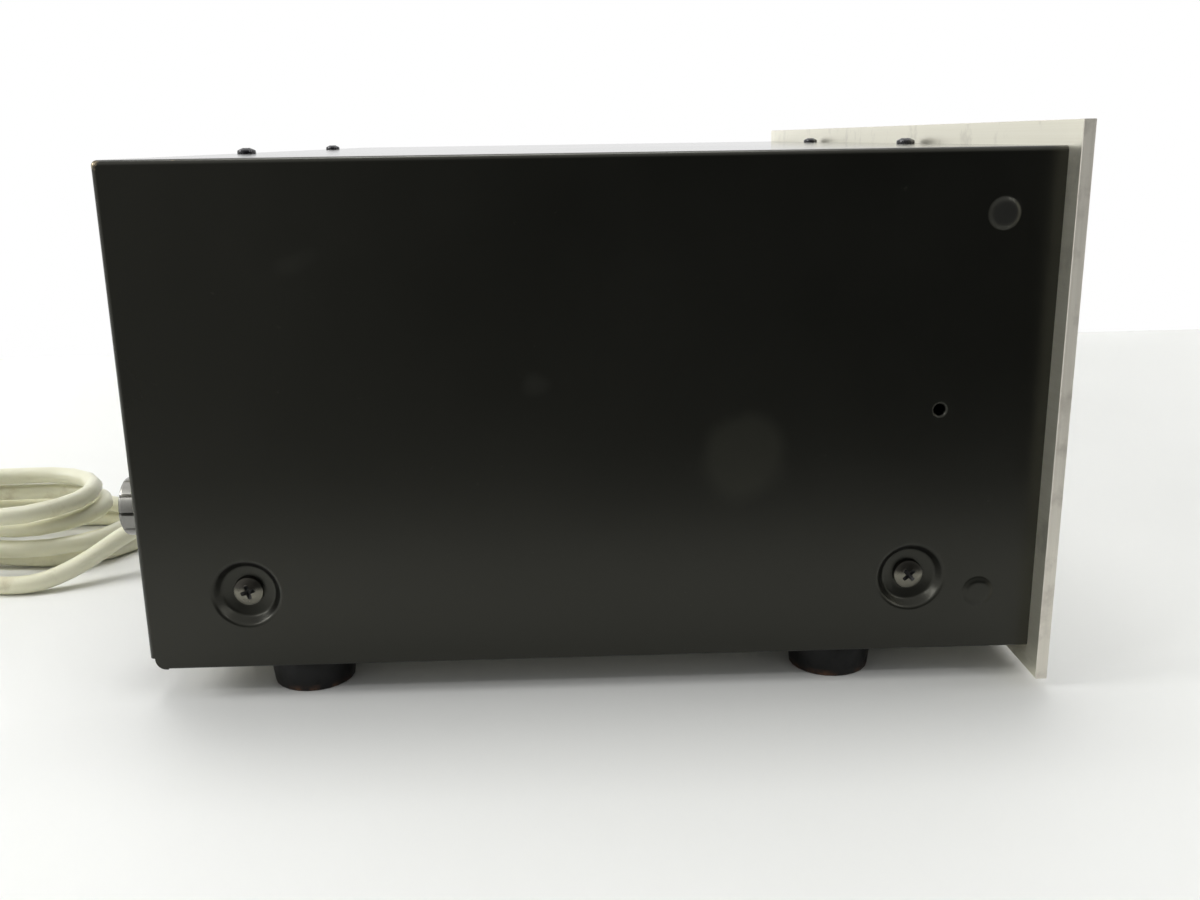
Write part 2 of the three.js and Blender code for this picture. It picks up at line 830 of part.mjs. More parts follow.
for (const [end, depth] of [["front", sideScrewFrontDepth], ["rear", sideScrewRearDepth]])
  for (const [hand, side] of [["left", -1], ["right", 1]]) {
    const reach = sideScrewShankReach + coverSheet;
    const screw = crossScrew(sideScrewHeadRadius, sideScrewHeadRise, sideScrewShankRadius, reach);
    const seat = side * (caseWidth / 2 - cupDepth + gap / 3);
    const turnedOut = screw.rotate([0, side * 90, 0]).translate([seat, depth, sideScrewHeight]);
    place(`side_screw_${end}_${hand}`, turnedOut, finishes.blackSteel);
  }

// The dial: a glass behind the window, the printed scale behind the pointer, and the rail that the
// pointer's carriage slides on at the back of the subpanel.
place(
  "dial_glass",
  upright(
    rectangle(windowWidth + glassLap * 2, windowHeight + glassLap * 2, windowCentre, windowMid),
    gap,
    gap + glassThick,
  ),
  finishes.clearGlass,
);

function dialScale() {
  let scale = upright(
    rectangle(scaleWidth, scaleHeight, scaleCentre, windowMid), scaleDepth, scaleDepth + scaleThick,
  );
  for (const share of [-3 / 8, 3 / 8]) {
    const spacer = box(
      scaleCentre + scaleWidth * share - panelPostRadius, scaleDepth + scaleThick / 2,
      windowMid - scaleHeight / 4,
      panelPostRadius * 2, subpanelDepth - gap - scaleDepth - scaleThick / 2, scaleHeight / 2,
    );
    scale = joined(scale, spacer);
  }
  return scale;
}
place("dial_scale", dialScale(), finishes.dialGreen);

const railHeight = armSlotMid + armSlotHeight / 2 - railThick;
const railNear = subpanelDepth + chassisSheet + gap + railThick;
const carriageLow = stringLine + stringRadius + gap;
const carriageWidth = railMargin * 2 / 3;

function pointerRail() {
  const reach = pointerTravel + railMargin;
  let rail = box(scaleCentre - reach, railNear, railHeight, reach * 2, railThick, railThick);
  for (const side of sides) {
    const end = scaleCentre + side * reach - (side > 0 ? railThick : 0);
    const bracket = box(
      end, subpanelDepth + chassisSheet + gap, railHeight,
      railThick, railThick * 2 + gap, railThick,
    );
    rail = joined(rail, bracket);
  }
  return rail;
}
place("pointer_rail", pointerRail(), finishes.zincSteel);

// The pointer: a red blade in front of the scale, an arm through the slot, and a carriage that hooks
// over the rail and is clipped to the string.
function dialPointer() {
  const armThick = armSlotHeight / 3;
  const armLow = armSlotMid - armThick / 2;
  const left = scaleCentre - pointerWidth / 2;
  const bladeLow = windowMid - scaleHeight * 4 / 9;
  const bladeHeight = armLow + armThick / 2 - bladeLow;
  const blade = box(left, pointerDepth, bladeLow, pointerWidth, pointerThick, bladeHeight);
  const armFar = railNear - gap;
  const arm = box(
    scaleCentre - carriageWidth / 4, pointerDepth, armLow,
    carriageWidth / 2, armFar - pinRadius / 2 - pointerDepth, armThick,
  );
  const clampFar = railNear + railThick + gap + pinRadius;
  const hook = cutBy(
    box(
      scaleCentre - carriageWidth / 2, armFar - pinRadius, carriageLow,
      carriageWidth, clampFar - armFar + pinRadius, railHeight + railThick + gap + pinRadius - carriageLow,
    ),
    box(
      scaleCentre - carriageWidth, railNear - gap, railHeight - gap,
      carriageWidth * 2, railThick + gap * 2, railThick + gap * 2,
    ),
  );
  return joined(blade, arm, hook);
}
place("dial_pointer", dialPointer(), finishes.pointerRed);

// A lamp housing behind the top of the scale lights it through its edge.
place(
  "dial_lamp_housing",
  box(
    scaleCentre - lampBoxWidth / 2, subpanelDepth - gap * 2 - lampBoxThick,
    windowMid - scaleHeight / 2 - gap - lampBoxHeight,
    lampBoxWidth, lampBoxThick, lampBoxHeight,
  ),
  finishes.whitePlastic,
);

// Two moving-coil meters in the window, each a housing with a sunk face, a needle and its pivot.
const needlePivotHeight = windowMid - meterHeight / 2 + meterRim + needleHubRadius + gap * 2;
const needleNear = meterFront + meterWell - gap - needleThick * 2;

function meterCase(centre) {
  const housing = upright(
    rectangle(meterWidth, meterHeight, centre, windowMid), meterFront, meterFront + meterLength,
  );
  const well = upright(
    rectangle(meterWidth - meterRim * 2, meterHeight - meterRim * 2, centre, windowMid),
    meterFront - overrun,
    meterFront + meterWell,
  );
  const pin = turned(
    [
      [0, needleNear - gap],
      [needlePinRadius, needleNear - gap],
      [needlePinRadius, meterFront + meterWell + gap],
      [0, meterFront + meterWell + gap],
    ],
    "y", 8,
  );
  return joined(cutBy(housing, well), pin.translate([centre, 0, needlePivotHeight]));
}

function meterNeedle(centre, restDegrees) {
  const shape = withHoles(
    circle(needleHubRadius, 0, 0, 12),
    circle(needlePinRadius + gap / 3, 0, 0, 8),
  );
  const hub = upright(shape, 0, needleThick * 2);
  const foot = (needleHubRadius + needlePinRadius) / 2;
  const arm = box(-needleWidth / 2, 0, foot, needleWidth, needleThick, needleLength);
  return joined(hub, arm).rotate([0, restDegrees, 0]).translate([centre, needleNear, needlePivotHeight]);
}

place("signal_meter", meterCase(meterCentres[0]), finishes.whitePlastic);
place("tuning_meter", meterCase(meterCentres[1]), finishes.whitePlastic);
place("signal_needle", meterNeedle(meterCentres[0], -needleZeroDegrees), finishes.pointerRed);
place("tuning_needle", meterNeedle(meterCentres[1], 0), finishes.pointerRed);

// The tuning knob: turned aluminium with a fluted edge, pushed on a shaft that runs in a bush through
// the subpanel, winds the string, and carries a flywheel behind it.
function flutedKnob(radius, length, flutes, boreRadius, boreReach) {
  const skirtLength = length * knobSkirtShare;
  const skirt = turned([[0, 0], [radius, 0], [radius, skirtLength], [0, skirtLength]], "y", 24);
  const gripRadius = radius * knobGripShare;
  const capFrom = -length * knobCapShare;
  const grip = upright(fluted(gripRadius, flutes, radius * knobFluteShare), capFrom, skirtLength / 2);
  const cap = turned(
    [
      [0, -length],
      [gripRadius * knobCapShare, -length],
      [gripRadius * knobGripShare, capFrom - (length + capFrom) / 2],
      [gripRadius * knobGripShare, capFrom + skirtLength],
      [0, capFrom + skirtLength],
    ],
    "y", 24,
  );
  const bore = turned(
    [[0, length], [boreRadius, length], [boreRadius, -boreReach], [0, -boreReach]],
    "y", 12,
  );
  return cutBy(joined(skirt, grip, cap), bore);
}

const knobBack = -panelThick - gap * 2;
const bushFront = -panelThick / 2;
const bushRear = stringDepth - drumWidth / 2 - gap;

const tuningKnob = flutedKnob(
  tuningKnobRadius, tuningKnobLength, tuningKnobFlutes, tuningShaftRadius + gap / 3, tuningKnobLength / 2,
);
const knobSkirt = tuningKnobLength * knobSkirtShare;
place(
  "tuning_knob",
  tuningKnob.translate([tuningAcross, knobBack - knobSkirt, tuningHeight]),
  finishes.satinAluminium,
);

const flywheelNear = stringDepth + drumWidth;
const shaftEnd = flywheelNear + flywheelLength + gap * 4;
const shaftTip = knobBack - knobSkirt - tuningKnobLength / 2 + gap;

// A shaft with a waist where the string winds: the run radius is the string's centre line.
function grooved(runRadius, width, rimRadius) {
  const floor = runRadius - stringRadius - gap;
  return [
    [rimRadius, -width / 2],
    [floor, -width / 4],
    [floor, width / 4],
    [rimRadius, width / 2],
  ];
}

const capstanRunRadius = tuningShaftRadius + stringRadius;
const tuningShaft = turned(
  [
    [0, shaftTip],
    [tuningShaftRadius, shaftTip],
    ...grooved(capstanRunRadius, drumWidth, tuningShaftRadius).map(([r, y]) => [r, y + stringDepth]),
    [tuningShaftRadius, shaftEnd],
    [0, shaftEnd],
  ],
  "y", 14,
);
place("tuning_shaft", tuningShaft.translate([tuningAcross, 0, tuningHeight]), finishes.zincSteel);

const shaftClearance = gap / 2;
const tuningBush = turned(
  [
    [tuningShaftRadius + shaftClearance, bushFront],
    [tuningBushRadius, bushFront],
    [tuningBushRadius, subpanelDepth + chassisSheet + gap],
    [tuningBushRadius * 5 / 4, subpanelDepth + chassisSheet + gap],
    [tuningBushRadius * 5 / 4, bushRear],
    [tuningShaftRadius + shaftClearance, bushRear],
    [tuningShaftRadius + shaftClearance, bushFront],
  ],
  "y", 14,
);
place("tuning_bush", tuningBush.translate([tuningAcross, 0, tuningHeight]), finishes.brass);

const flywheelMid = flywheelLength / 2;
const flywheel = turned(
  [
    [tuningShaftRadius + gap / 3, 0],
    [tuningBushRadius, 0],
    [tuningBushRadius, flywheelMid - flywheelWeb / 2],
    [flywheelRadius - flywheelWeb, flywheelMid - flywheelWeb / 2],
    [flywheelRadius - flywheelWeb, 0],
    [flywheelRadius, 0],
    [flywheelRadius, flywheelLength],
    [flywheelRadius - flywheelWeb, flywheelLength],
    [flywheelRadius - flywheelWeb, flywheelMid + flywheelWeb / 2],
    [tuningBushRadius, flywheelMid + flywheelWeb / 2],
    [tuningBushRadius, flywheelLength],
    [tuningShaftRadius + gap / 3, flywheelLength],
    [tuningShaftRadius + gap / 3, 0],
  ],
  "y", 28,
);
place("tuning_flywheel", flywheel.translate([tuningAcross, flywheelNear, tuningHeight]), finishes.zincSteel);

// The drum: a grooved rim on five spokes, on the capacitor's shaft.
function dialDrum() {
  const rimRadius = drumRunRadius + grooveDepth;
  const rimThick = grooveDepth * 4;
  const rim = turned(
    [
      [rimRadius - rimThick, -drumWidth / 2],
      ...grooved(drumRunRadius, drumWidth, rimRadius),
      [rimRadius - rimThick, drumWidth / 2],
      [rimRadius - rimThick, -drumWidth / 2],
    ],
    "y", 40,
  );
  const hubRadius = gangShaftRadius * 2.5;
  const hub = turned(
    [
      [gangShaftRadius + gap / 3, -drumWidth / 2],
      [hubRadius, -drumWidth / 2],
      [hubRadius, drumWidth],
      [gangShaftRadius + gap / 3, drumWidth],
      [gangShaftRadius + gap / 3, -drumWidth / 2],
    ],
    "y", 16,
  );
  const spokeLength = rimRadius - rimThick / 2 - hubRadius + grooveDepth;
  let drum = joined(rim, hub);
  for (let i = 0; i < drumSpokes; i++) {
    const spoke = box(
      -spokeWidth / 2, -drumWidth / 4, hubRadius - grooveDepth, spokeWidth, drumWidth / 2, spokeLength,
    );
    drum = joined(drum, spoke.rotate([0, (i / drumSpokes) * 360, 0]));
  }
  return drum;
}
place("dial_drum", dialDrum().translate([drumAcross, stringDepth, drumHeight]), finishes.whitePlastic);

// Two guide pulleys on the subpanel's stub pins, and the string round all four wheels in one plane.
function guidePulley() {
  const rimRadius = pulleyRunRadius + grooveDepth;
  const bore = pinRadius + shaftClearance;
  return turned(
    [
      [bore, -pulleyWidth / 2],
      ...grooved(pulleyRunRadius, pulleyWidth, rimRadius),
      [bore, pulleyWidth / 2],
      [bore, -pulleyWidth / 2],
    ],
    "y", 18,
  );
}
const pulleyPlaces = { guide_pulley_left: pulleyLeftAcross, guide_pulley_right: pulleyRightAcross };
for (const [name, across] of Object.entries(pulleyPlaces))
  place(name, guidePulley().translate([across, stringDepth, pulleyHeight]), finishes.brass);

// The string runs clockwise round the outside of the circles: along each it follows an arc, and
// between two it is their outer common tangent.
function dialString() {
  const wheels = [
    [pulleyLeftAcross, pulleyHeight, pulleyRunRadius],
    [pulleyRightAcross, pulleyHeight, pulleyRunRadius],
    [tuningAcross, tuningHeight, capstanRunRadius],
    [drumAcross, drumHeight, drumRunRadius],
  ];
  const leaving = wheels.map(([x, z, r], i) => {
    const [nextX, nextZ, nextR] = wheels[(i + 1) % wheels.length];
    const heading = Math.atan2(nextZ - z, nextX - x);
    return heading + Math.acos((r - nextR) / Math.hypot(nextX - x, nextZ - z));
  });
  const points = wheels.flatMap(([x, z, r], i) => {
    const end = leaving[i];
    let start = leaving.at(i - 1);
    while (start < end) start += Math.PI * 2;
    while (start - end > Math.PI * 2) start -= Math.PI * 2;
    const steps = Math.ceil((start - end) * stringStepsPerRadian * Math.sqrt(r / drumRunRadius));
    return Array.from({ length: steps + 1 }, (_, k) => {
      const angle = start + ((end - start) * k) / steps;
      return new THREE.Vector3(x + r * Math.cos(angle), stringDepth, z + r * Math.sin(angle));
    });
  });
  return tube(points, stringRadius, 4, true);
}
place("dial_string", dialString(), finishes.whitePlastic);

// The variable capacitor: a frame of two end plates and a floor, fixed plates held on one side, and
// half-round plates on the shaft that swing between them.
const plateStackFront = gangFront + (gangLength - (rotorPlates - 1) * platePitch) / 2;
const statorSide = rotorRadius + gap * 2;

function gangFrame() {
  const endShape = () =>
    withHoles(
      rectangle(gangWidth, gangHeight, drumAcross, drumHeight),
      circle(gangShaftRadius + shaftClearance * 2, drumAcross, drumHeight, 14),
    );
  const front = upright(endShape(), gangFront, gangFront + gangEndThick);
  const rear = upright(endShape(), gangFront + gangLength - gangEndThick, gangFront + gangLength);
  const floorLow = drumHeight - gangHeight / 2;
  const left = drumAcross - gangWidth / 2;
  let frame = joined(front, rear, box(left, gangFront, floorLow, gangWidth, gangLength, gangEndThick));
  const barLeft = drumAcross + statorSide;
  const bar = box(
    barLeft, gangFront + gangEndThick / 2, drumHeight - statorBarThick * 2,
    gangWidth / 2 - statorSide, gangLength - gangEndThick, statorBarThick * 4,
  );
  frame = joined(frame, bar);
  for (let i = 0; i < rotorPlates - 1; i++) {
    const near = plateStackFront + (i + 1 / 2) * platePitch - plateThick / 2;
    const plate = cutBy(
      upright(
        rectangle(statorSide + gap, rotorRadius * 2, drumAcross + (statorSide + gap) / 2, drumHeight),
        near,
        near + plateThick,
      ),
      upright(circle(statorInnerRadius, drumAcross, drumHeight, 10), near - gap, near + plateThick + gap),
    );
    frame = joined(frame, plate);
  }
  const legHeight = floorLow - chassisSheet - gap;
  for (const depth of [gangFront, gangFront + gangLength - gangFootThick]) {
    const leg = box(left, depth, chassisSheet + gap, gangWidth, gangFootThick, legHeight + gangFootThick);
    const foot = box(left, gangFront, chassisSheet + gap, gangWidth, gangLength, gangFootThick);
    frame = joined(frame, leg, foot);
  }
  return frame;
}
place("gang_frame", gangFrame(), finishes.zincSteel);

function gangRotor() {
  const near = stringDepth - drumWidth / 2;
  const far = gangFront + gangLength + gangEndThick;
  let rotor = turned([[0, near], [gangShaftRadius, near], [gangShaftRadius, far], [0, far]], "y", 14);
  for (let i = 0; i < rotorPlates; i++) {
    const outline = new THREE.Shape();
    outline.absarc(0, 0, rotorRadius, -Math.PI, 0);
    outline.closePath();
    const plateNear = plateStackFront + i * platePitch - plateThick / 2;
    rotor = joined(rotor, upright(outline, plateNear, plateNear + plateThick));
  }
  return rotor.translate([drumAcross, 0, drumHeight]);
}
place("gang_rotor", gangRotor(), finishes.satinAluminium);

// Three bat-handled lever switches. Each lever swings on a ball just behind the panel and rests low.
for (const [name, across] of Object.entries(leverAcross)) {
  const lever = turned(
    [
      [0, -leverReach],
      [leverTipRadius / 2, -leverReach],
      [leverTipRadius, -leverReach + leverTipRadius / 2],
      [leverTipRadius, -leverReach + leverTipRadius * 2],
      [leverNeckRadius, -leverBallRadius],
      [leverBallRadius * Math.cos(Math.PI / 6), -leverBallRadius / 2],
      [leverBallRadius, 0],
      [leverBallRadius * Math.cos(Math.PI / 6), leverBallRadius / 2],
      [leverNeckRadius, leverBallRadius],
      [0, leverBallRadius],
    ],
    "y", 12,
  );
  const atRest = lever.rotate([leverTiltDegrees, 0, 0]);
  place(name, atRest.translate([across, leverPivotDepth, lowerRowHeight]), finishes.satinAluminium);
}

// A switch's neck reaches through the subpanel to just behind its lever's ball.
function switchNeck(across, size) {
  const near = leverPivotDepth + leverBallRadius + gap;
  return box(
    across - leverSlotWidth / 2 + gap, near, lowerRowHeight - leverSlotHeight / 2 + gap,
    leverSlotWidth - gap * 2, subpanelDepth + size.along / 2 - near, leverSlotHeight - gap * 2,
  );
}
const switchNear = subpanelDepth + chassisSheet + gap;
const powerCase = box(
  leverAcross.power_lever - powerSwitchSize.across / 2, switchNear, lowerRowHeight - powerSwitchSize.high / 2,
  powerSwitchSize.across, powerSwitchSize.along, powerSwitchSize.high,
);
place(
  "power_switch",
  joined(powerCase, switchNeck(leverAcross.power_lever, powerSwitchSize)),
  finishes.blackPlastic,
);
const pairMid = (leverAcross.muting_lever + leverAcross.mode_lever) / 2;
const pairCase = box(
  pairMid - leverSwitchSize.across / 2, switchNear, lowerRowHeight - leverSwitchSize.high / 2,
  leverSwitchSize.across, leverSwitchSize.along, leverSwitchSize.high,
);
place(
  "lever_switches",
  joined(
    pairCase,
    switchNeck(leverAcross.muting_lever, leverSwitchSize),
    switchNeck(leverAcross.mode_lever, leverSwitchSize),
  ),
  finishes.blackPlastic,
);

// The band selector: a knob on the shaft of a rotary switch.
const selectorBush = selectorSwitchRadius / 3;
const selectorSwitch = turned(
  [
    [0, 0],
    [selectorBush, 0],
    [selectorBush, switchNear],
    [selectorSwitchRadius, switchNear],
    [selectorSwitchRadius, switchNear + selectorSwitchLength],
    [0, switchNear + selectorSwitchLength],
  ],
  "y", 16,
);
const selectorBoreRadius = tuningShaftRadius + shaftClearance;
const selectorBore = turned(
  [
    [0, -overrun],
    [selectorBoreRadius, -overrun],
    [selectorBoreRadius, switchNear],
    [0, switchNear],
  ],
  "y", 14,
);
place(
  "selector_switch",
  cutBy(selectorSwitch, selectorBore).translate([selectorAcross, 0, lowerRowHeight]),
  finishes.zincSteel,
);

const selectorSkirt = selectorKnobLength * knobSkirtShare;
const selectorShaft = turned(
  [
    [0, knobBack - selectorSkirt * 2],
    [tuningShaftRadius, knobBack - selectorSkirt * 2],
    [tuningShaftRadius, switchNear - gap],
    [0, switchNear - gap],
  ],
  "y", 14,
);
const selectorGrip = flutedKnob(
  selectorKnobRadius, selectorKnobLength, selectorKnobFlutes, tuningShaftRadius / 2, 0,
);
place(
  "selector_knob",
  joined(selectorGrip.translate([0, knobBack - selectorSkirt, 0]), selectorShaft)
    .translate([selectorAcross, 0, lowerRowHeight]),
  finishes.satinAluminium,
);

// The mains transformer: a laminated core with two windows and the winding round its middle limb.
const coreLow = chassisSheet + gap;
const coreMid = coreLow + coreHeight / 2;
const coreNear = coreRear - coreDepth;
const windowOpen = (coreWidth - coreLimb * 4) / 2;
function transformerCore() {
  const shape = rectangle(coreWidth, coreHeight, coreAcross, coreMid);
  for (const side of sides) {
    const across = coreAcross + side * (coreLimb + windowOpen / 2);
    shape.holes.push(rectangle(windowOpen, coreHeight - coreLimb * 2, across, coreMid));
  }
  const feet = box(
    coreAcross - coreWidth / 2 - coreLimb, coreNear, coreLow,
    coreWidth + coreLimb * 2, coreDepth, coreFootThick,
  );
  return joined(upright(shape, coreNear, coreRear), feet);
}
place("transformer_core", transformerCore(), finishes.laminatedIron);

const coilOuter = (coreLimb + windowOpen - coilGap) * 2;
const coilInner = (coreLimb + coilGap) * 2;
const coilHeight = coreHeight - coreLimb * 2 - coilGap * 2;
const coilShape = withHoles(
  rectangle(coilOuter, coreDepth + coilBulge * 2, coreAcross, coreNear + coreDepth / 2, coilBulge / 2),
  rectangle(coilInner, coreDepth + coilGap * 2, coreAcross, coreNear + coreDepth / 2),
);
const transformerCoil = flat(coilShape, coreMid - coilHeight / 2, coreMid + coilHeight / 2);
place("transformer_coil", transformerCoil, finishes.copperCoil);

// The main circuit board on four posts, with its screened coils and two reservoir capacitors.
function mainBoard() {
  const top = boardLift + boardThick;
  const halfWidth = boardWidth / 2;
  let board = box(boardAcross - halfWidth, boardFront, boardLift, boardWidth, boardLength, boardThick);
  for (const side of sides)
    for (const end of sides) {
      const post = flat(
        circle(
          boardPostRadius,
          boardAcross + side * (halfWidth - boardPostRadius * 2),
          boardFront + boardLength / 2 + end * (boardLength / 2 - boardPostRadius * 2),
          8,
        ),
        chassisSheet + gap,
        boardLift + boardThick / 2,
      );
      board = joined(board, post);
    }
  for (let i = 0; i < canCount; i++) {
    const left = boardAcross - ((canCount - 1) / 2 - i) * canPitch - canSize / 2;
    const row = boardFront + boardLength / 2 - canSize / 2 + (i % 2 === 0 ? canPitch : -canPitch);
    board = joined(board, box(left, row, top - boardThick / 2, canSize, canSize, canHeight));
  }
  for (const side of sides) {
    const across = boardAcross - halfWidth + reservoirRadius * 2;
    const depth = boardFront + boardLength / 2 + side * reservoirRadius * 3 / 2;
    const outline = circle(reservoirRadius, across, depth, 16);
    board = joined(board, flat(outline, top - boardThick / 2, top + reservoirHeight));
  }
  return board;
}
place("main_board", mainBoard(), finishes.board);

place(
  "tuner_shield_can",
  box(
    shieldAcross - shieldWidth / 2, shieldFront, chassisSheet + gap,
    shieldWidth, shieldLength, shieldHeight,
  ),
  finishes.zincSteel,
);

// The rear: the output level knob on its potentiometer, a block of output jacks, the aerial screw
// terminals and the cord's bushing.
const potNear = rearPanelInner - gap - levelPotLength;
const potBore = levelPotRadius / 4;
const levelPot = turned(
  [
    [potBore, 0],
    [levelPotRadius, 0],
    [levelPotRadius, levelPotLength],
    [levelPotRadius / 3, levelPotLength],
    [levelPotRadius / 3, levelPotLength + chassisSheet + gap * 2],
    [potBore, levelPotLength + chassisSheet + gap * 2],
    [potBore, 0],
  ],
  "y", 16,
);
place(
  "output_level_pot",
  levelPot.translate([levelKnobAcross, potNear, levelKnobHeight]),
  finishes.zincSteel,
);

const levelKnobNear = rearPanelFace + gap * 3;
const levelKnobFar = caseDepth + levelKnobReach;
const levelShaftRadius = potBore - shaftClearance * 2;
const levelKnobOutline = fluted(levelKnobRadius, levelKnobFlutes, levelKnobRadius / 14);
const levelKnob = joined(
  upright(levelKnobOutline, levelKnobNear, levelKnobFar - gap * 3),
  turned(
    [
      [0, levelKnobFar - gap * 4],
      [levelKnobRadius * knobGripShare, levelKnobFar - gap * 4],
      [levelKnobRadius * knobCapShare, levelKnobFar],
      [0, levelKnobFar],
    ],
    "y", 20,
  ),
  turned(
    [
      [0, potNear + gap],
      [levelShaftRadius, potNear + gap],
      [levelShaftRadius, levelKnobNear + gap],
      [0, levelKnobNear + gap],
    ],
    "y", 10,
  ),
);
place("output_level_knob", levelKnob.translate([levelKnobAcross, 0, levelKnobHeight]), finishes.blackPlastic);

function outputJacks() {
  let block = upright(
    rectangle(jackPlateWidth, jackPlateHeight, jackAcross, jackHeight),
    rearPanelFace + gap,
    rearPanelFace + gap * 5,
  );
  const near = rearPanelFace + gap * 3;
  for (let i = 0; i < 4; i++) {
    const barrel = turned(
      [
        [0, 0],
        [jackRadius * 3 / 2, 0],
        [jackRadius * 3 / 2, jackReach / 4],
        [jackRadius, jackReach / 4],
        [jackRadius, jackReach],
        [jackPinRadius, jackReach],
        [jackPinRadius, jackReach / 4],
        [0, jackReach / 4],
      ],
      "y", 12,
    );
    const across = jackAcross + (i - 3 / 2) * jackPitch;
    block = joined(block, barrel.translate([across, near, jackHeight]));
  }
  return block;
}
place("output_jacks", outputJacks(), finishes.blackPlastic);

function antennaTerminals() {
  const near = rearPanelFace + gap;
  let strip = box(
    terminalAcross - terminalWidth / 2, near, terminalRow - terminalHeight / 2,
    terminalWidth, terminalScrewRadius, terminalHeight,
  );
  for (let i = 0; i < terminalCount; i++) {
    const across = terminalAcross + (i - (terminalCount - 1) / 2) * terminalPitch;
    const screw = upright(
      circle(terminalScrewRadius, across, terminalRow, 12),
      near + terminalScrewRadius / 2,
      near + terminalScrewRadius * 2,
    );
    strip = joined(strip, screw);
  }
  for (let i = 0; i < terminalCount - 1; i++) {
    const across = terminalAcross + (i - (terminalCount - 2) / 2) * terminalPitch;
    const fence = box(
      across - gap * 3, near + terminalScrewRadius / 2, terminalRow - terminalHeight / 2,
      gap * 6, terminalScrewRadius * 2, terminalHeight,
    );
    strip = joined(strip, fence);
  }
  return strip;
}
place("antenna_terminals", antennaTerminals(), finishes.blackPlastic);

// The medium-wave aerial: a rod on an upright pin between the ears of a bracket. It swings out from
// against the rear panel.
const rodDepth = rearPanelFace + rodStandOff;
const rodTop = rodHeight + rodBracketHeight / 2;
const rodFoot = rodHeight - rodBracketHeight / 2;
function aerialBracket() {
  const width = rodHubRadius * 2;
  const plateNear = rearPanelFace + gap;
  const left = rodPivotAcross - width / 2;
  const plate = box(
    left, plateNear, rodFoot - rodHubRadius,
    width, rodBracketThick, rodBracketHeight + rodHubRadius * 2,
  );
  const earLength = rodStandOff + rodHubRadius - gap - rodBracketThick / 2;
  const ear = (low) => box(left, plateNear + rodBracketThick / 2, low, width, earLength, rodBracketThick);
  const pin = flat(circle(pinRadius, rodPivotAcross, rodDepth, 12), rodFoot + gap, rodTop - gap);
  return joined(plate, ear(rodFoot - rodBracketThick / 2), ear(rodTop - rodBracketThick / 2), pin);
}
place("aerial_bracket", aerialBracket(), finishes.zincSteel);

function aerialRod() {
  const low = rodFoot + rodBracketThick / 2 + gap;
  const high = rodTop - rodBracketThick / 2 - gap;
  const hub = turned(
    [
      [pinRadius + shaftClearance * 2, low],
      [rodHubRadius, low],
      [rodHubRadius, high],
      [pinRadius + shaftClearance * 2, high],
      [pinRadius + shaftClearance * 2, low],
    ],
    "z", 14,
  );
  const rod = turned(
    [
      [0, -rodLength],
      [rodRadius - gap * 4, -rodLength],
      [rodRadius, -rodLength + gap * 4],
      [rodRadius, -rodHubRadius * 2],
      [rodHubRadius / 2, -rodHubRadius * 3 / 2],
      [rodHubRadius / 2, -pinRadius * 2],
      [0, -pinRadius * 2],
    ],
    "x", 14,
  );
  return joined(hub, rod.translate([0, 0, rodHeight])).translate([rodPivotAcross, rodDepth, 0]);
}
place("aerial_rod", aerialRod(), finishes.blackPlastic);

const cordExit = caseDepth + bushingReach;
const cordBushing = turned(
  [
    [0, rearPanelInner - bushingFlangeThick],
    [bushingNeckRadius - gap * 2, rearPanelInner - bushingFlangeThick],
    [bushingNeckRadius, rearPanelInner],
    [bushingNeckRadius, rearPanelFace + gap],
    [bushingFlangeRadius, rearPanelFace + gap],
    [bushingFlangeRadius, rearPanelFace + bushingFlangeThick],
    [bushingNeckRadius, rearPanelFace + bushingFlangeThick],
    [bushingTipRadius, cordExit],
    [0, cordExit],
  ],
  "y", 16,
);
place("cord_bushing", cordBushing.translate([bushingAcross, 0, bushingHeight]), finishes.blackRubber);

// The mains lead, in the same depths as the case but with heights from the table. Its first stretch
// leaves the bushing, falls to the table and runs into the hank. The points are [across from the
// bushing, depth behind the case, height].
const onTable = new THREE.Group();
tuner.add(onTable);
const tableLine = cordRadius + floorGap;

const nearFoldDepth = hankNearApexDepth + hankOuterRadius;
const farFoldDepth = nearFoldDepth + hankRun;
const waistDepth = (nearFoldDepth + farFoldDepth) / 2;
const waistLift = tieThick + gap;
const meanFoldRadius = hankOuterRadius - hankStep / 2;
const turnLength = (hankRun + Math.PI * meanFoldRadius) * 2;
const halfRunShare = hankRun / 2 / turnLength;
const foldShare = (Math.PI * meanFoldRadius) / turnLength;

function eased(share) {
  const held = Math.min(Math.max(share, 0), 1);
  return held * held * (3 - 2 * held);
}

// The layer that a place on the hank has reached: each climb is made along one run.
function layerAt(turns) {
  let layer = 0;
  for (let i = 1; i < hankLayers; i++)
    layer += eased((turns - i + halfRunShare) / (halfRunShare * 2));
  return layer;
}

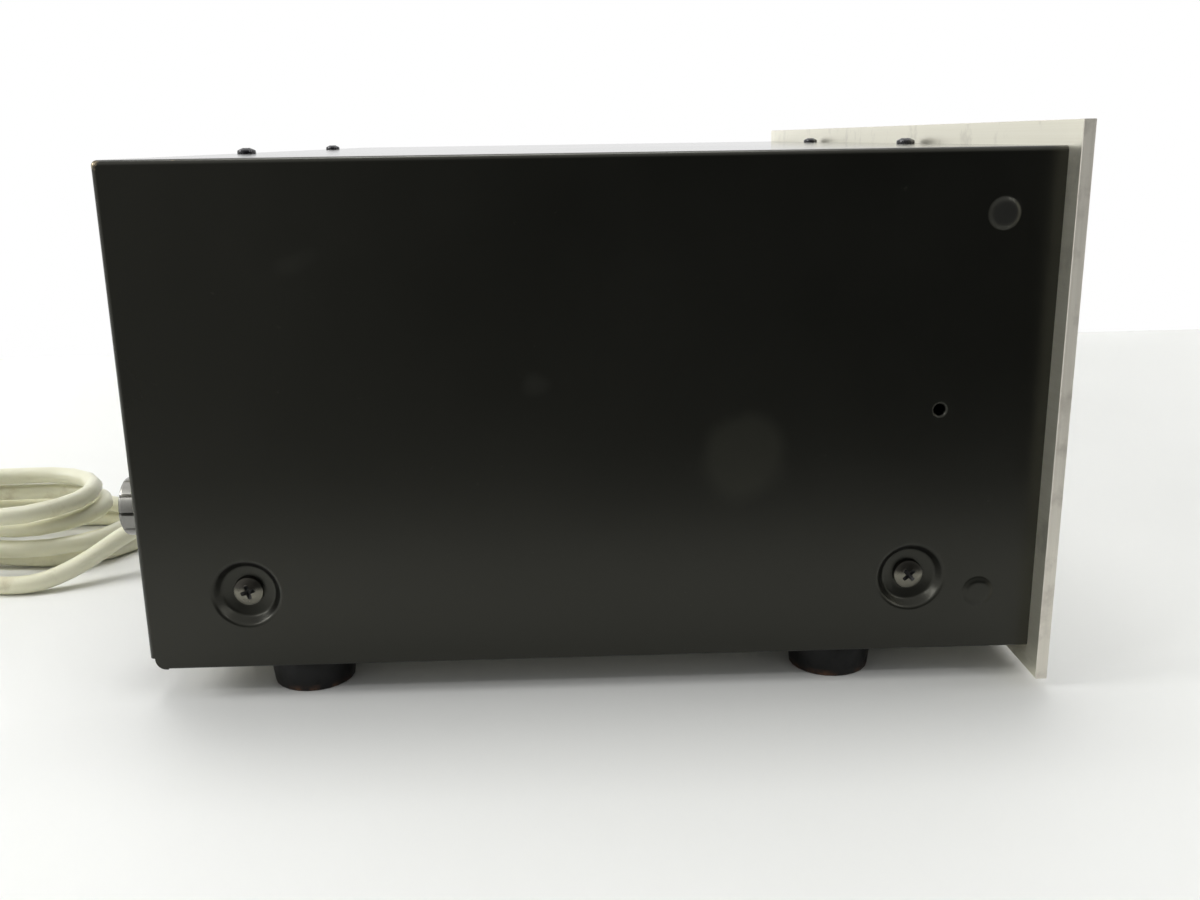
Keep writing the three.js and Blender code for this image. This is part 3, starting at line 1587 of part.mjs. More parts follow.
// A place on the hank, after so many turns from the middle of the run that the cord comes in along.
function hankPoint(turns) {
  const layer = layerAt(turns);
  const swing = turns % 2;
  const radius = hankOuterRadius - hankStep * (swing < 1 ? swing : 2 - swing);
  const centre = hankCentreAcross + hankSideShift * layer;
  const near = nearFoldDepth + hankFoldShift * layer;
  const share = turns % 1;
  const farEnd = halfRunShare + foldShare;
  const nearStart = farEnd + halfRunShare * 2;
  const nearEnd = nearStart + foldShare;
  let across = centre - radius;
  let depth = waistDepth;
  if (share < halfRunShare) {
    depth += (farFoldDepth - waistDepth) * (share / halfRunShare);
  } else if (share < farEnd) {
    const angle = ((share - halfRunShare) / foldShare) * Math.PI;
    across = centre - radius * Math.cos(angle);
    depth = farFoldDepth + radius * Math.sin(angle);
  } else if (share < nearStart) {
    across = centre + radius;
    depth = farFoldDepth + ((near - farFoldDepth) * (share - farEnd)) / (halfRunShare * 2);
  } else if (share < nearEnd) {
    const angle = ((share - nearStart) / foldShare) * Math.PI;
    across = centre + radius * Math.cos(angle);
    depth = near - radius * Math.sin(angle);
  } else {
    depth = near + ((waistDepth - near) * (share - nearEnd)) / halfRunShare;
  }
  const fromWaist = Math.min(Math.abs(depth - waistDepth) / (hankRun / 2), 1);
  const drawn = Math.cos((fromWaist * Math.PI) / 2) ** 2;
  across -= Math.sign(across - centre) * hankWaist * drawn;
  const height = tableLine + layer * hankLayerStep + waistLift * drawn;
  return new THREE.Vector3(across, depth, height);
}

function hankPath(steps) {
  const count = Math.round(hankEndTurns * steps);
  return Array.from({ length: count + 1 }, (_, i) => hankPoint((hankEndTurns * i) / count));
}

// The least gap of the hank to itself, between places more than three diameters apart along it.
function leastGap() {
  const path = hankPath(hankMeasureSteps);
  const apart = Math.ceil((cordRadius * 2 * 3) / (turnLength / hankMeasureSteps));
  let least = Infinity;
  for (let i = 0; i < path.length; i++)
    for (let k = i + apart; k < path.length; k++)
      least = Math.min(least, path[i].distanceTo(path[k]));
  return least - cordRadius * 2;
}
console.log(`least gap of the hank to itself: ${leastGap().toFixed(2)} mm`);

const bushingLine = footHeight + bushingHeight;
const behindBushing = ([across, behind, height]) =>
  new THREE.Vector3(bushingAcross + across, caseDepth + behind, height);
const cordRoute = [
  [0, 28.7, 20],
  [-1.2, 36.7, 18.4],
  [-5.1, 44.7, 14.6],
  [-10.7, 52.4, 10],
  [-16.3, 60.4, 6.2],
  [-20.3, 68.9, 3.9],
  [-21.5, 77.4, 3.25],
  [-20.1, 86.4, 3.25],
  [-15.3, 95.4, 3.25],
  [-8.1, 103.9, 3.3],
  [-0.9, 112.9, 3.6],
  [3.3, 121.4, 4.1],
].map(behindBushing);
const hankStart = hankPoint(0);
const hankEnd = hankPoint(hankEndTurns);
const cordDiameter = cordRadius * 2;
const cordPath = [
  new THREE.Vector3(bushingAcross, cordExit + gap, bushingLine),
  ...cordRoute,
  new THREE.Vector3(hankStart.x, hankStart.y - cordDiameter, hankStart.z),
  new THREE.Vector3(hankStart.x, hankStart.y - gap, hankStart.z),
];
place("power_cord", tube(cordPath, cordRadius, cordSides), finishes.creamCord, onTable);
place("cord_hank", tube(hankPath(hankStepsPerTurn), cordRadius, hankSides), finishes.creamCord, onTable);

const plugLine = floorGap + plugHeight / 2;
const plugAcross = bushingAcross - plugFromBushing;
const plugNear = caseDepth + plugBehindCase;
const tailRoute = [
  [-10.4, 115.7, 24.9],
  [-12.7, 123, 23.6],
  [-16.4, 129.6, 21.4],
  [-21.3, 134.9, 18.6],
  [-26.9, 139.3, 15.3],
  [-31.8, 144.6, 12.5],
  [-35.4, 151.1, 10.3],
  [-37.7, 158.5, 9],
].map(behindBushing);
const tailPath = [
  new THREE.Vector3(hankEnd.x, hankEnd.y + gap, hankEnd.z),
  new THREE.Vector3(hankEnd.x, hankEnd.y + cordDiameter, hankEnd.z),
  ...tailRoute,
  new THREE.Vector3(plugAcross, plugNear - cordRadius, plugLine),
  new THREE.Vector3(plugAcross, plugNear - gap, plugLine),
];
place("cord_tail", tube(tailPath, cordRadius, cordSides), finishes.creamCord, onTable);

// The tie is a flat strap closed round the hank's waist.
function cordTie() {
  const slack = gap * 3 / 2;
  const reach = hankOuterRadius - hankWaist + cordRadius + slack;
  const left = hankCentreAcross + hankSideShift * (hankLayers - 1) - reach;
  const right = hankCentreAcross + reach;
  const low = tieThick + floorGap;
  const high = tableLine + waistLift + hankLayerStep * (hankLayers - 1) + cordRadius + gap;
  const inner = rectangle(right - left, high - low, (left + right) / 2, (high + low) / 2, cordRadius);
  const outer = rectangle(
    right - left + tieThick * 2, high - low + tieThick * 2, (left + right) / 2, (high + low) / 2,
    cordRadius + tieThick,
  );
  return upright(withHoles(outer, inner), waistDepth - tieWidth / 2, waistDepth + tieWidth / 2);
}
place("cord_tie", cordTie(), finishes.blackPlastic, onTable);

function powerPlug() {
  const reliefRadius = cordRadius * 2;
  const relief = turned(
    [
      [0, 0],
      [cordRadius + gap * 3, 0],
      [reliefRadius, plugRelief],
      [reliefRadius, plugRelief * 2],
      [0, plugRelief * 2],
    ],
    "y", 12,
  );
  const bodyNear = plugNear + plugRelief;
  let plug = flat(
    rectangle(plugWidth, plugLength, plugAcross, bodyNear + plugLength / 2, plugCornerRadius),
    floorGap,
    floorGap + plugHeight,
  );
  plug = joined(plug, relief.translate([plugAcross, plugNear, plugLine]));
  for (const side of sides) {
    const blade = box(
      plugAcross + (side * bladePitch) / 2 - bladeThick / 2, bodyNear + plugLength / 2,
      plugLine - bladeWidth / 2,
      bladeThick, plugLength / 2 + bladeLength, bladeWidth,
    );
    plug = joined(plug, blade);
  }
  return plug;
}
place("power_plug", powerPlug(), finishes.creamCord, onTable);

// The origin is under the middle of the tuner itself, leaving out its lead.
const reach = new THREE.Box3().setFromObject(inCase);
const middle = reach.getCenter(new THREE.Vector3());
inCase.position.set(0, -middle.y, footHeight);
onTable.position.set(0, -middle.y, 0);

export default tuner;
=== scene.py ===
from math import copysign, cos, hypot, pi, radians, sin, tau
import bmesh
import bpy
from mathutils import Matrix, Vector


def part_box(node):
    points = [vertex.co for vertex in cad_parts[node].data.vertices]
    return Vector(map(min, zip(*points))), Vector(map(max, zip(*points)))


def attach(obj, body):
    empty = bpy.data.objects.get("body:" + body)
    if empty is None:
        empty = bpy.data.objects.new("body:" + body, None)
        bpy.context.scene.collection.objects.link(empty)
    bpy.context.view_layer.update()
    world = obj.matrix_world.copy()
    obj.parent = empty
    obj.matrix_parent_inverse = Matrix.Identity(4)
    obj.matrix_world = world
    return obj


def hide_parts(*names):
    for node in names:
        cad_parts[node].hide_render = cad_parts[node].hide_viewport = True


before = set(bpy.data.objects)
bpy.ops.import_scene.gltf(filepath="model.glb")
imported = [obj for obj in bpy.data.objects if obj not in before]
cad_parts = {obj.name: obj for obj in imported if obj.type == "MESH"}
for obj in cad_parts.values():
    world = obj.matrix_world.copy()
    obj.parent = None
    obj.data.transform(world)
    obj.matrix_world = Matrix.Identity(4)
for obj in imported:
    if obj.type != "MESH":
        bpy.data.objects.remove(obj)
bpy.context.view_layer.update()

# The tuner stands on a white table in front of a white paper wall, seen from its own left side by a
# camera held close to it, a little above the case.
camera_data = bpy.data.cameras.new("side_view")
camera_data.sensor_width = 36
camera_data.lens = 35.21
camera_data.clip_start = 0.02
camera = bpy.data.objects.new("side_view", camera_data)
view_right = Vector((-0.0348, -0.9993, -0.0145)).normalized()
view_ahead = Vector((0.9660, -0.0299, -0.2568)).normalized()
view_up = view_right.cross(view_ahead).normalized()
turn = Matrix((view_right, view_up, -view_ahead)).transposed()
camera.matrix_world = Matrix.Translation((-0.52506, 0.0077, 0.15317)) @ turn.to_4x4()
bpy.context.scene.collection.objects.link(camera)
bpy.context.scene.camera = camera
bpy.context.scene.view_settings.view_transform = "Standard"


def put_in_scene(name, data):
    thing = bpy.data.objects.new(name, data)
    bpy.context.scene.collection.objects.link(thing)
    return thing


def new_material(name):
    material = bpy.data.materials.new(name)
    material.use_nodes = True
    tree = material.node_tree
    return material, tree, tree.nodes["Principled BSDF"]


def feed(node, inputs):
    """Sets the node's inputs, or links them to a socket or to another node's first output."""
    for key, value in inputs.items():
        if isinstance(value, bpy.types.Node):
            value = value.outputs[0]
        if isinstance(value, bpy.types.NodeSocket):
            node.id_data.links.new(value, node.inputs[key])
        else:
            node.inputs[key].default_value = value
    return node


def add(tree, kind, inputs=None, **settings):
    node = tree.nodes.new("ShaderNode" + kind)
    for key, value in settings.items():
        setattr(node, key, value)
    return feed(node, inputs or {})


def calc(tree, operation, *values):
    return add(tree, "Math", dict(enumerate(values)), operation=operation)


def vector_calc(tree, operation, *values):
    return add(tree, "VectorMath", dict(enumerate(values)), operation=operation)


def tones(tree, factor, *stops):
    """A ramp of colours, each stop a place on it and the colour there."""
    ramp = add(tree, "ValToRGB", {"Fac": factor})
    elements = ramp.color_ramp.elements
    for index, (place, colour) in enumerate(stops):
        stop = elements[index] if index < 2 else elements.new(place)
        stop.position, stop.color = place, colour
    return ramp


# The table is a plain sheet, and a paper wall stands on it just behind the tuner.
def flat_sheet(name, corners):
    mesh = bpy.data.meshes.new(name)
    mesh.from_pydata(corners, [], [tuple(range(len(corners)))])
    mesh.validate()
    return put_in_scene(name, mesh)


table_near, table_side = -0.36, 1.9
wall_left, wall_right = 0.320, 0.416
table = flat_sheet("table", [
    (table_near, -table_side, 0), (table_side, -table_side, 0), (table_side, table_side, 0),
    (table_near, table_side, 0),
])
table_top, tree, surface = new_material("table_top")
place = add(tree, "NewGeometry")
mottle = add(tree, "TexNoise", {"Scale": 3.0, "Detail": 3, "Vector": place})
tints = tones(tree, mottle, (0.3, (0.85, 0.85, 0.82, 1)), (0.7, (0.90, 0.90, 0.87, 1)))
feed(surface, {"Base Color": tints, "Roughness": 0.55})
far_off = vector_calc(tree, "LENGTH", place)
paling = add(tree, "MapRange", {
    "From Min": 0.75, "From Max": 1.7, "Value": far_off.outputs["Value"],
}, interpolation_type="SMOOTHSTEP")
rays = add(tree, "LightPath")
pale_seen = calc(tree, "MULTIPLY", rays.outputs["Is Camera Ray"], paling)
glow = add(tree, "Emission", {"Color": (1, 1, 1, 1)})
mix = add(tree, "MixShader", {0: pale_seen, 1: surface, 2: glow})
feed(tree.nodes["Material Output"], {"Surface": mix})
table.data.materials.append(table_top)

# In front of the camera's side the table goes on for the eye alone, so that the paint does not mirror it.
near_table = flat_sheet("near_table", [
    (-table_side, -table_side, 0), (table_near, -table_side, 0), (table_near, table_side, 0),
    (-table_side, table_side, 0),
])
seen_table = table_top.copy()
seen_table.name = "seen_table"
tree = seen_table.node_tree
rays = add(tree, "LightPath")
clear = add(tree, "BsdfTransparent")
only_seen = add(tree, "MixShader")
outlet = tree.nodes["Material Output"].inputs["Surface"]
whole = outlet.links[0].from_socket
feed(only_seen, {0: rays.outputs["Is Camera Ray"], 1: clear, 2: whole})
tree.links.new(only_seen.outputs[0], outlet)
near_table.data.materials.append(seen_table)

wall = flat_sheet("paper_wall", [
    (wall_left, table_side, -0.02), (wall_right, -table_side, -0.02), (wall_right, -table_side, 1.6),
    (wall_left, table_side, 1.6),
])
wall_paper, tree, surface = new_material("wall_paper")
feed(surface, {"Base Color": (0.86, 0.86, 0.86, 1), "Roughness": 0.9})
rays = add(tree, "LightPath")
seen = calc(tree, "MAXIMUM", rays.outputs["Is Camera Ray"], rays.outputs["Is Glossy Ray"])
seen_through = calc(tree, "MAXIMUM", seen, rays.outputs["Is Transmission Ray"])
glow = add(tree, "Emission", {"Color": (1, 1, 1, 1)})
mix = add(tree, "MixShader", {0: seen_through, 1: surface, 2: glow})
facing = add(tree, "NewGeometry")
clear = add(tree, "BsdfTransparent")
one_sided = add(tree, "MixShader", {0: facing.outputs["Backfacing"], 1: mix, 2: clear})
feed(tree.nodes["Material Output"], {"Surface": one_sided})
wall.data.materials.append(wall_paper)

# The room is softly lit all round, but it is dim on the side that the camera stands on, and the glossy
# paint shows it: mirrored rays see dark there, most towards the front, and white elsewhere.
world = bpy.data.worlds.new("room")
world.use_nodes = True
bpy.context.scene.world = world
tree = world.node_tree
ground = tree.nodes["Background"]
feed(ground, {"Color": (0.96, 0.98, 1.0, 1), "Strength": 0.40})
mirrored = add(tree, "Background", {"Strength": 1.0})
direction = add(tree, "TexCoord")
raised = vector_calc(tree, "MULTIPLY", direction.outputs["Generated"], (1, 1, 1.7))
evened = vector_calc(tree, "NORMALIZE", raised)
dim_side = vector_calc(tree, "DOT_PRODUCT", evened, (-0.943, -0.333, 0))
room_tones = tones(
    tree, dim_side.outputs["Value"],
    (0.35, (0.9, 0.9, 0.88, 1)), (0.96, (0.03, 0.031, 0.028, 1)), (0.78, (0.24, 0.24, 0.22, 1)),
)
feed(mirrored, {"Color": room_tones})
white = add(tree, "Background", {"Color": (1, 1, 1, 1)})
rays = add(tree, "LightPath")
glossy_mix = add(tree, "MixShader", {0: rays.outputs["Is Glossy Ray"], 1: ground, 2: mirrored})
camera_mix = add(tree, "MixShader")
seen = calc(tree, "MAXIMUM", rays.outputs["Is Camera Ray"], rays.outputs["Is Transmission Ray"])
feed(camera_mix, {0: seen, 1: glossy_mix, 2: white})
feed(tree.nodes["World Output"], {"Surface": camera_mix})


def soft_lamp(name, place, aim, size, power):
    data = bpy.data.lights.new(name, "AREA")
    data.shape = "RECTANGLE"
    data.size, data.size_y = size
    data.energy = power
    lamp = put_in_scene(name, data)
    lamp.location = place
    lamp.rotation_euler = (Vector(aim) - Vector(place)).to_track_quat("-Z", "Y").to_euler()


soft_lamp("lamp_over", (0.28, 0.12, 1.6), (0, 0, 0), (0.9, 0.9), 17)
soft_lamp("lamp_rear", (-0.35, 1.5, 0.9), (0, 0.1, 0.05), (0.55, 0.55), 10)
soft_lamp("lamp_front", (-0.3, -1.6, 0.95), (0, 0, 0.05), (0.6, 0.6), 3.5)
soft_lamp("gleam_rear", (-0.9, 1.05, 1.1), (-0.2, 0, 0.06), (0.14, 0.14), 2.2)
soft_lamp("gleam_front", (-0.9, -1.0, 1.0), (-0.2, 0, 0.06), (0.14, 0.14), 1.2)


# Mains lead: cream vinyl over two cores, 6.4 mm thick, as pressed out in one long length. It leaves a
# rubber bushing at the rear, falls to the table in a slack S, and the rest of its 1.8 m is folded into a
# hank that a strap holds, with the plug beside it.
lead_radius = 0.0032
table_clearance = 0.00005
lead_line = lead_radius + table_clearance
case_shift = -0.1245
case_lift = 0.00965
bushing_exit = Vector((-0.1075, 0.2729 + case_shift, 0.0105 + case_lift))
lead_route = [
    (-107.5, 279.3, 20), (-108.7, 287.3, 18.4), (-112.6, 295.3, 14.6), (-118.2, 303, 10),
    (-123.8, 311, 6.2), (-127.8, 319.5, 3.9), (-129, 328, 3.25), (-127.6, 337, 3.25), (-122.8, 346, 3.25),
    (-115.6, 354.5, 3.3), (-108.4, 363.5, 3.6), (-104.2, 372, 4.1),
]
tail_route = [
    (-117.9, 366.3, 24.9), (-120.2, 373.6, 23.6), (-123.9, 380.2, 21.4), (-128.8, 385.5, 18.6),
    (-134.4, 389.9, 15.3), (-139.3, 395.2, 12.5), (-142.9, 401.7, 10.3), (-145.2, 409.1, 9),
]
plug_start = Vector((-0.146, 0.420 + case_shift, 0.00855))

hank_layers = 4
hank_run = 0.127
hank_outer_radius = 0.031
hank_step = 0.0084
hank_layer_step = 0.0072
hank_fold_shift = 0.006
hank_centre = -0.0775
hank_side_shift = -0.004
hank_waist = 0.006
hank_turns = 3.88
near_fold = 0.294 + hank_outer_radius + case_shift
far_fold = near_fold + hank_run
waist = (near_fold + far_fold) / 2
tie_lift = 0.0013
turn_length = (hank_run + pi * (hank_outer_radius - hank_step / 2)) * 2
half_run_share = hank_run / 2 / turn_length
fold_share = pi * (hank_outer_radius - hank_step / 2) / turn_length


def eased(share):
    held = min(max(share, 0), 1)
    return held * held * (3 - 2 * held)


def hank_point(turns):
    layer = sum(eased((turns - i + half_run_share) / (half_run_share * 2)) for i in range(1, hank_layers))
    swing = turns % 2
    radius = hank_outer_radius - hank_step * (swing if swing < 1 else 2 - swing)
    centre = hank_centre + hank_side_shift * layer
    near = near_fold + hank_fold_shift * layer
    share = turns % 1
    far_end = half_run_share + fold_share
    near_start = far_end + half_run_share * 2
    near_end = near_start + fold_share
    across, depth = centre - radius, waist
    if share < half_run_share:
        depth += (far_fold - waist) * share / half_run_share
    elif share < far_end:
        angle = (share - half_run_share) / fold_share * pi
        across = centre - radius * cos(angle)
        depth = far_fold + radius * sin(angle)
    elif share < near_start:
        across = centre + radius
        depth = far_fold + (near - far_fold) * (share - far_end) / (half_run_share * 2)
    elif share < near_end:
        angle = (share - near_start) / fold_share * pi
        across = centre + radius * cos(angle)
        depth = near - radius * sin(angle)
    else:
        depth = near + (waist - near) * (share - near_end) / half_run_share
    drawn = cos(min(abs(depth - waist) / (hank_run / 2), 1) * pi / 2) ** 2
    across -= copysign(hank_waist * drawn, across - centre)
    return Vector((across, depth, lead_line + layer * hank_layer_step + tie_lift * drawn))


def middle_of(node):
    """The middle of a solid's box: across, along and up."""
    low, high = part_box(node)
    return tuple((low[i] + high[i]) / 2 for i in range(3))


def in_metres(points):
    return [Vector((x / 1000, y / 1000 + case_shift, z / 1000)) for x, y, z in points]


def rounded(points, steps):
    """A smooth line through the points."""
    line = []
    for i in range(len(points) - 1):
        before, start = points[max(i - 1, 0)], points[i]
        end, after = points[i + 1], points[min(i + 2, len(points) - 1)]
        for k in range(steps):
            t = k / steps
            line.append(0.5 * (
                2 * start + (end - before) * t + (2 * before - 5 * start + 4 * end - after) * t * t
                + (3 * start - before - 3 * end + after) * t ** 3
            ))
    return line + [points[-1]]


hank_start = hank_point(0)
hank_end = hank_point(hank_turns)
two_radii = Vector((0, lead_radius * 2, 0))
coming = rounded([bushing_exit, *in_metres(lead_route), hank_start - two_radii, hank_start], 3)
leaving = rounded([
    hank_end, hank_end + two_radii, *in_metres(tail_route),
    plug_start - Vector((0, lead_radius, 0)), plug_start - Vector((0, 0.0003, 0)),
], 3)
coil_steps = 44 * 4
coil = [hank_point(hank_turns * i / coil_steps) for i in range(1, coil_steps)]
lead_line_points = coming + coil + leaving

lead_curve = bpy.data.curves.new("mains_lead", "CURVE")
lead_curve.dimensions = "3D"
lead_curve.bevel_depth = lead_radius
lead_curve.bevel_resolution = 5
lead_curve.use_fill_caps = True
spline = lead_curve.splines.new("POLY")
spline.points.add(len(lead_line_points) - 1)
for point, co in zip(spline.points, lead_line_points):
    point.co = (*co, 1)
spline.use_smooth = True
mains_lead = put_in_scene("mains_lead", lead_curve)


def make_group(name, inputs, *outputs):
    """A shader group with the labelled inputs at their usual values, and its two end nodes."""
    group = bpy.data.node_groups.new(name, "ShaderNodeTree")
    for label, value in inputs.items():
        kind = "NodeSocketVector" if isinstance(value, tuple) else "NodeSocketFloat"
        group.interface.new_socket(name=label, in_out="INPUT", socket_type=kind).default_value = value
    for label in outputs:
        group.interface.new_socket(name=label, in_out="OUTPUT", socket_type="NodeSocketFloat")
    return group, group.nodes.new("NodeGroupInput"), group.nodes.new("NodeGroupOutput")


def use_group(tree, group, **values):
    node = tree.nodes.new("ShaderNodeGroup")
    node.node_tree = group
    return feed(node, values)


# Grime that has rubbed into a skin: a few soft smudges and finer specks.
smudges, given, result = make_group(
    "smudges", {"Coarseness": 60.0, "Clean": 0.55, "Soiled": 0.75}, "Mask", "Grain",
)
place = add(smudges, "NewGeometry")
cloud = add(smudges, "TexNoise", {
    "Detail": 6, "Roughness": 0.62, "Vector": place, "Scale": given.outputs["Coarseness"],
})
spread = add(smudges, "MapRange", {
    "Value": cloud, "From Min": given.outputs["Clean"], "From Max": given.outputs["Soiled"],
})
feed(result, {"Mask": spread})
finer = add(smudges, "TexNoise", {"Detail": 2})
fine_scale = calc(smudges, "MULTIPLY", given.outputs["Coarseness"], 14)
feed(finer, {"Scale": fine_scale, "Vector": place})
feed(result, {"Grain": finer})


def grime(tree, coarseness, clean, soiled):
    return use_group(tree, smudges, Coarseness=coarseness, Clean=clean, Soiled=soiled)


def blend_colours(tree, factor, first, second):
    """A colour that goes from the first to the second; each is a colour or another node's output."""
    first, second = ((*colour, 1) if isinstance(colour, tuple) else colour for colour in (first, second))
    return add(tree, "Mix", {0: factor, 6: first, 7: second}, data_type="RGBA").outputs[2]


def bump(tree, surface, height, depth, strength=1.0):
    relief = add(tree, "Bump", {"Distance": depth, "Strength": strength, "Height": height})
    feed(surface, {"Normal": relief})


def spread_between(tree, value, low, high, start=0.0, end=1.0):
    ends = {"From Min": start, "From Max": end, "To Min": low, "To Max": high}
    return add(tree, "MapRange", {"Value": value, **ends})


cream_vinyl, tree, surface = new_material("cream_vinyl")
soil = grime(tree, 70.0, 0.60, 0.82)
tone = grime(tree, 14.0, 0.3, 0.7)
pale = blend_colours(tree, tone, (0.74, 0.72, 0.52), (0.80, 0.785, 0.61))
feed(surface, {
    "Base Color": blend_colours(tree, soil, pale, (0.50, 0.44, 0.28)),
    "Roughness": spread_between(tree, soil, 0.36, 0.6), "Subsurface Weight": 0.08,
    "Subsurface Radius": (0.004, 0.0035, 0.002),
})
bump(tree, surface, soil.outputs["Grain"], 0.00006, 0.5)
mains_lead.data.materials.append(cream_vinyl)
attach(mains_lead, "case")
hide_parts("power_cord", "cord_hank", "cord_tail")


def mottled(name, spots, first, second, gloss, metallic, relief=0.0, strength=0.4):
    """A finish of two colours in spots of (coarseness, clean, soiled), between two roughnesses."""
    material, tree, surface = new_material(name)
    soil = grime(tree, *spots)
    feed(surface, {
        "Base Color": blend_colours(tree, soil, first, second), "Metallic": metallic,
        "Roughness": spread_between(tree, soil, *gloss),
    })
    if relief:
        bump(tree, surface, soil.outputs["Grain"], relief, strength)
    return material


def link_mesh(name, bm, material, smooth_angle=40):
    """A new piece from the edited mesh, shaded smooth except across edges sharper than the angle."""
    bmesh.ops.recalc_face_normals(bm, faces=bm.faces)
    mesh = bpy.data.meshes.new(name)
    bm.to_mesh(mesh)
    bm.free()
    mesh.polygons.foreach_set("use_smooth", [True] * len(mesh.polygons))
    mesh.set_sharp_from_angle(angle=radians(smooth_angle))
    mesh.materials.append(material)
    return put_in_scene(name, mesh)


def skin(bm, rings, closed=True):
    """Faces between neighbouring rings of vertices; a ring of one vertex is a tip."""
    for near, far in zip(rings, rings[1:]):
        most = max(len(near), len(far))
        for k in range(most if closed else most - 1):
            n = (k + 1) % most
            if len(near) == 1:
                bm.faces.new((near[0], far[k], far[n]))
            elif len(far) == 1:
                bm.faces.new((near[k], near[n], far[0]))
            else:
                bm.faces.new((near[k], near[n], far[n], far[k]))


def lathe(bm, profile, centre, axis, sides=64):
    """Turns a profile of (radius, place along the axis) about the axis through the centre."""
    axis = Vector(axis).normalized()
    first = axis.orthogonal().normalized()
    second = axis.cross(first)
    rings = []
    for radius, along in profile:
        middle = Vector(centre) + axis * along
        if radius < 1e-6:
            rings.append([bm.verts.new(middle)])
            continue
        rings.append([
            bm.verts.new(middle + (first * cos(a) + second * sin(a)) * radius)
            for a in (tau * i / sides for i in range(sides))
        ])
    skin(bm, rings)


# Bushing: a black rubber strain relief, moulded with a flange and soft ribs that let it bend, pressed
# into the rear panel round the lead.
black_rubber_and_recess_shade = mottled(
    "black_rubber_and_recess_shade", (90.0, 0.5, 0.85), (0.012, 0.012, 0.012), (0.05, 0.045, 0.04), (0.5, 0.75),
    metallic=0.0, relief=0.00005,
)

sleeve_low, sleeve_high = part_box("cord_bushing")
sleeve_across, _, sleeve_up = middle_of("cord_bushing")
sleeve_radius = (sleeve_high.x - sleeve_low.x) / 2
sleeve_length = sleeve_high.y - sleeve_low.y
sleeve = bmesh.new()
flange_shares = [
    (0, 0), (0.68, 0), (0.76, 0.1), (0.76, 0.16), (0.97, 0.165), (1, 0.18), (1, 0.25), (0.95, 0.265),
    (0.76, 0.27),
]
profile = [(sleeve_radius * wide, sleeve_length * along) for wide, along in flange_shares]
for rib in range(5):
    start = 0.31 + rib * 0.135
    outer = sleeve_radius * (0.76 - 0.04 * rib)
    profile += [
        (outer, sleeve_length * start), (outer, sleeve_length * (start + 0.065)),
        (outer - 0.0007, sleeve_length * (start + 0.08)), (outer - 0.0007, sleeve_length * (start + 0.12)),
    ]
profile += [
    (sleeve_radius * 0.53, sleeve_length * 0.995), (lead_radius + 0.0002, sleeve_length),
    (0, sleeve_length),
]
lathe(sleeve, profile, (sleeve_across, sleeve_low.y, sleeve_up), (0, 1, 0))
lead_sleeve = link_mesh("lead_sleeve", sleeve, black_rubber_and_recess_shade)
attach(lead_sleeve, "case")
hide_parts("cord_bushing")

# Plug: a two-pin plug moulded on the lead in the same cream vinyl, with a ribbed neck, a waisted grip and
# two nickelled blades.
plug_low, plug_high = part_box("power_plug")
plug_line = Vector((plug_start.x, plug_start.y, 0.00855))
body_length = plug_high.y - plug_low.y - 0.017
sections = []
for i in range(9):
    at = i / 8 * 0.30
    ring = lead_radius + 0.0009 + (0.0055 - lead_radius) * at / 0.30 + (0.0007 if i % 2 else 0)
    sections.append((at, ring, ring, 2.0))
sections += [
    (0.36, 0.0085, 0.0068, 2.4), (0.46, 0.0112, 0.0078, 3.0), (0.58, 0.0118, 0.0079, 3.4),
    (0.70, 0.0113, 0.0076, 3.6), (0.80, 0.0119, 0.0080, 4.0), (0.90, 0.0124, 0.0083, 4.5),
    (0.97, 0.0124, 0.0083, 4.5), (0.995, 0.0119, 0.0078, 4.0), (1.0, 0.0112, 0.0071, 4.0),
]
grip_sides = 40
grip = bmesh.new()
rings = []
for at, wide, high, power in sections:
    ring = []
    for k in range(grip_sides):
        a = tau * k / grip_sides
        c, s = cos(a), sin(a)
        across = copysign(abs(c) ** (2 / power), c) * wide
        up = copysign(abs(s) ** (2 / power), s) * high
        ring.append(grip.verts.new(plug_line + Vector((across, at * body_length, up))))
    rings.append(ring)
skin(grip, rings)
grip.faces.new(rings[0])
grip.faces.new(rings[-1])
plug_grip = link_mesh("plug_grip", grip, cream_vinyl, 50)
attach(plug_grip, "case")
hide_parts("power_plug")

bright_nickel = mottled(
    "bright_nickel", (240.0, 0.5, 0.7), (0.70, 0.69, 0.66), (0.46, 0.44, 0.40), (0.2, 0.4), metallic=1.0,
)
blades = bmesh.new()
for side in (-1, 1):
    middle = plug_line + Vector((side * 0.00635, body_length - 0.001, 0))
    outline = [
        (-0.0032, 0), (-0.0032, 0.0155), (-0.0022, 0.018), (0.0022, 0.018), (0.0032, 0.0155), (0.0032, 0),
    ]
    faces = []
    for thick in (-0.0007, 0.0007):
        faces.append([blades.verts.new(middle + Vector((thick, along, up))) for up, along in outline])
    blades.faces.new(faces[0])
    blades.faces.new(list(reversed(faces[1])))
    for k in range(len(outline)):
        n = (k + 1) % len(outline)
        blades.faces.new((faces[0][k], faces[1][k], faces[1][n], faces[0][n]))
plug_blades = link_mesh("plug_blades", blades, bright_nickel, 30)
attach(plug_blades, "case")


# Tie: a flat black plastic strap drawn tight round the strands at the hank's waist.
black_strap = mottled(
    "black_strap", (160.0, 0.5, 0.8), (0.016, 0.016, 0.017), (0.04, 0.04, 0.04), (0.34, 0.55),
    metallic=0.0, relief=0.00003,
)


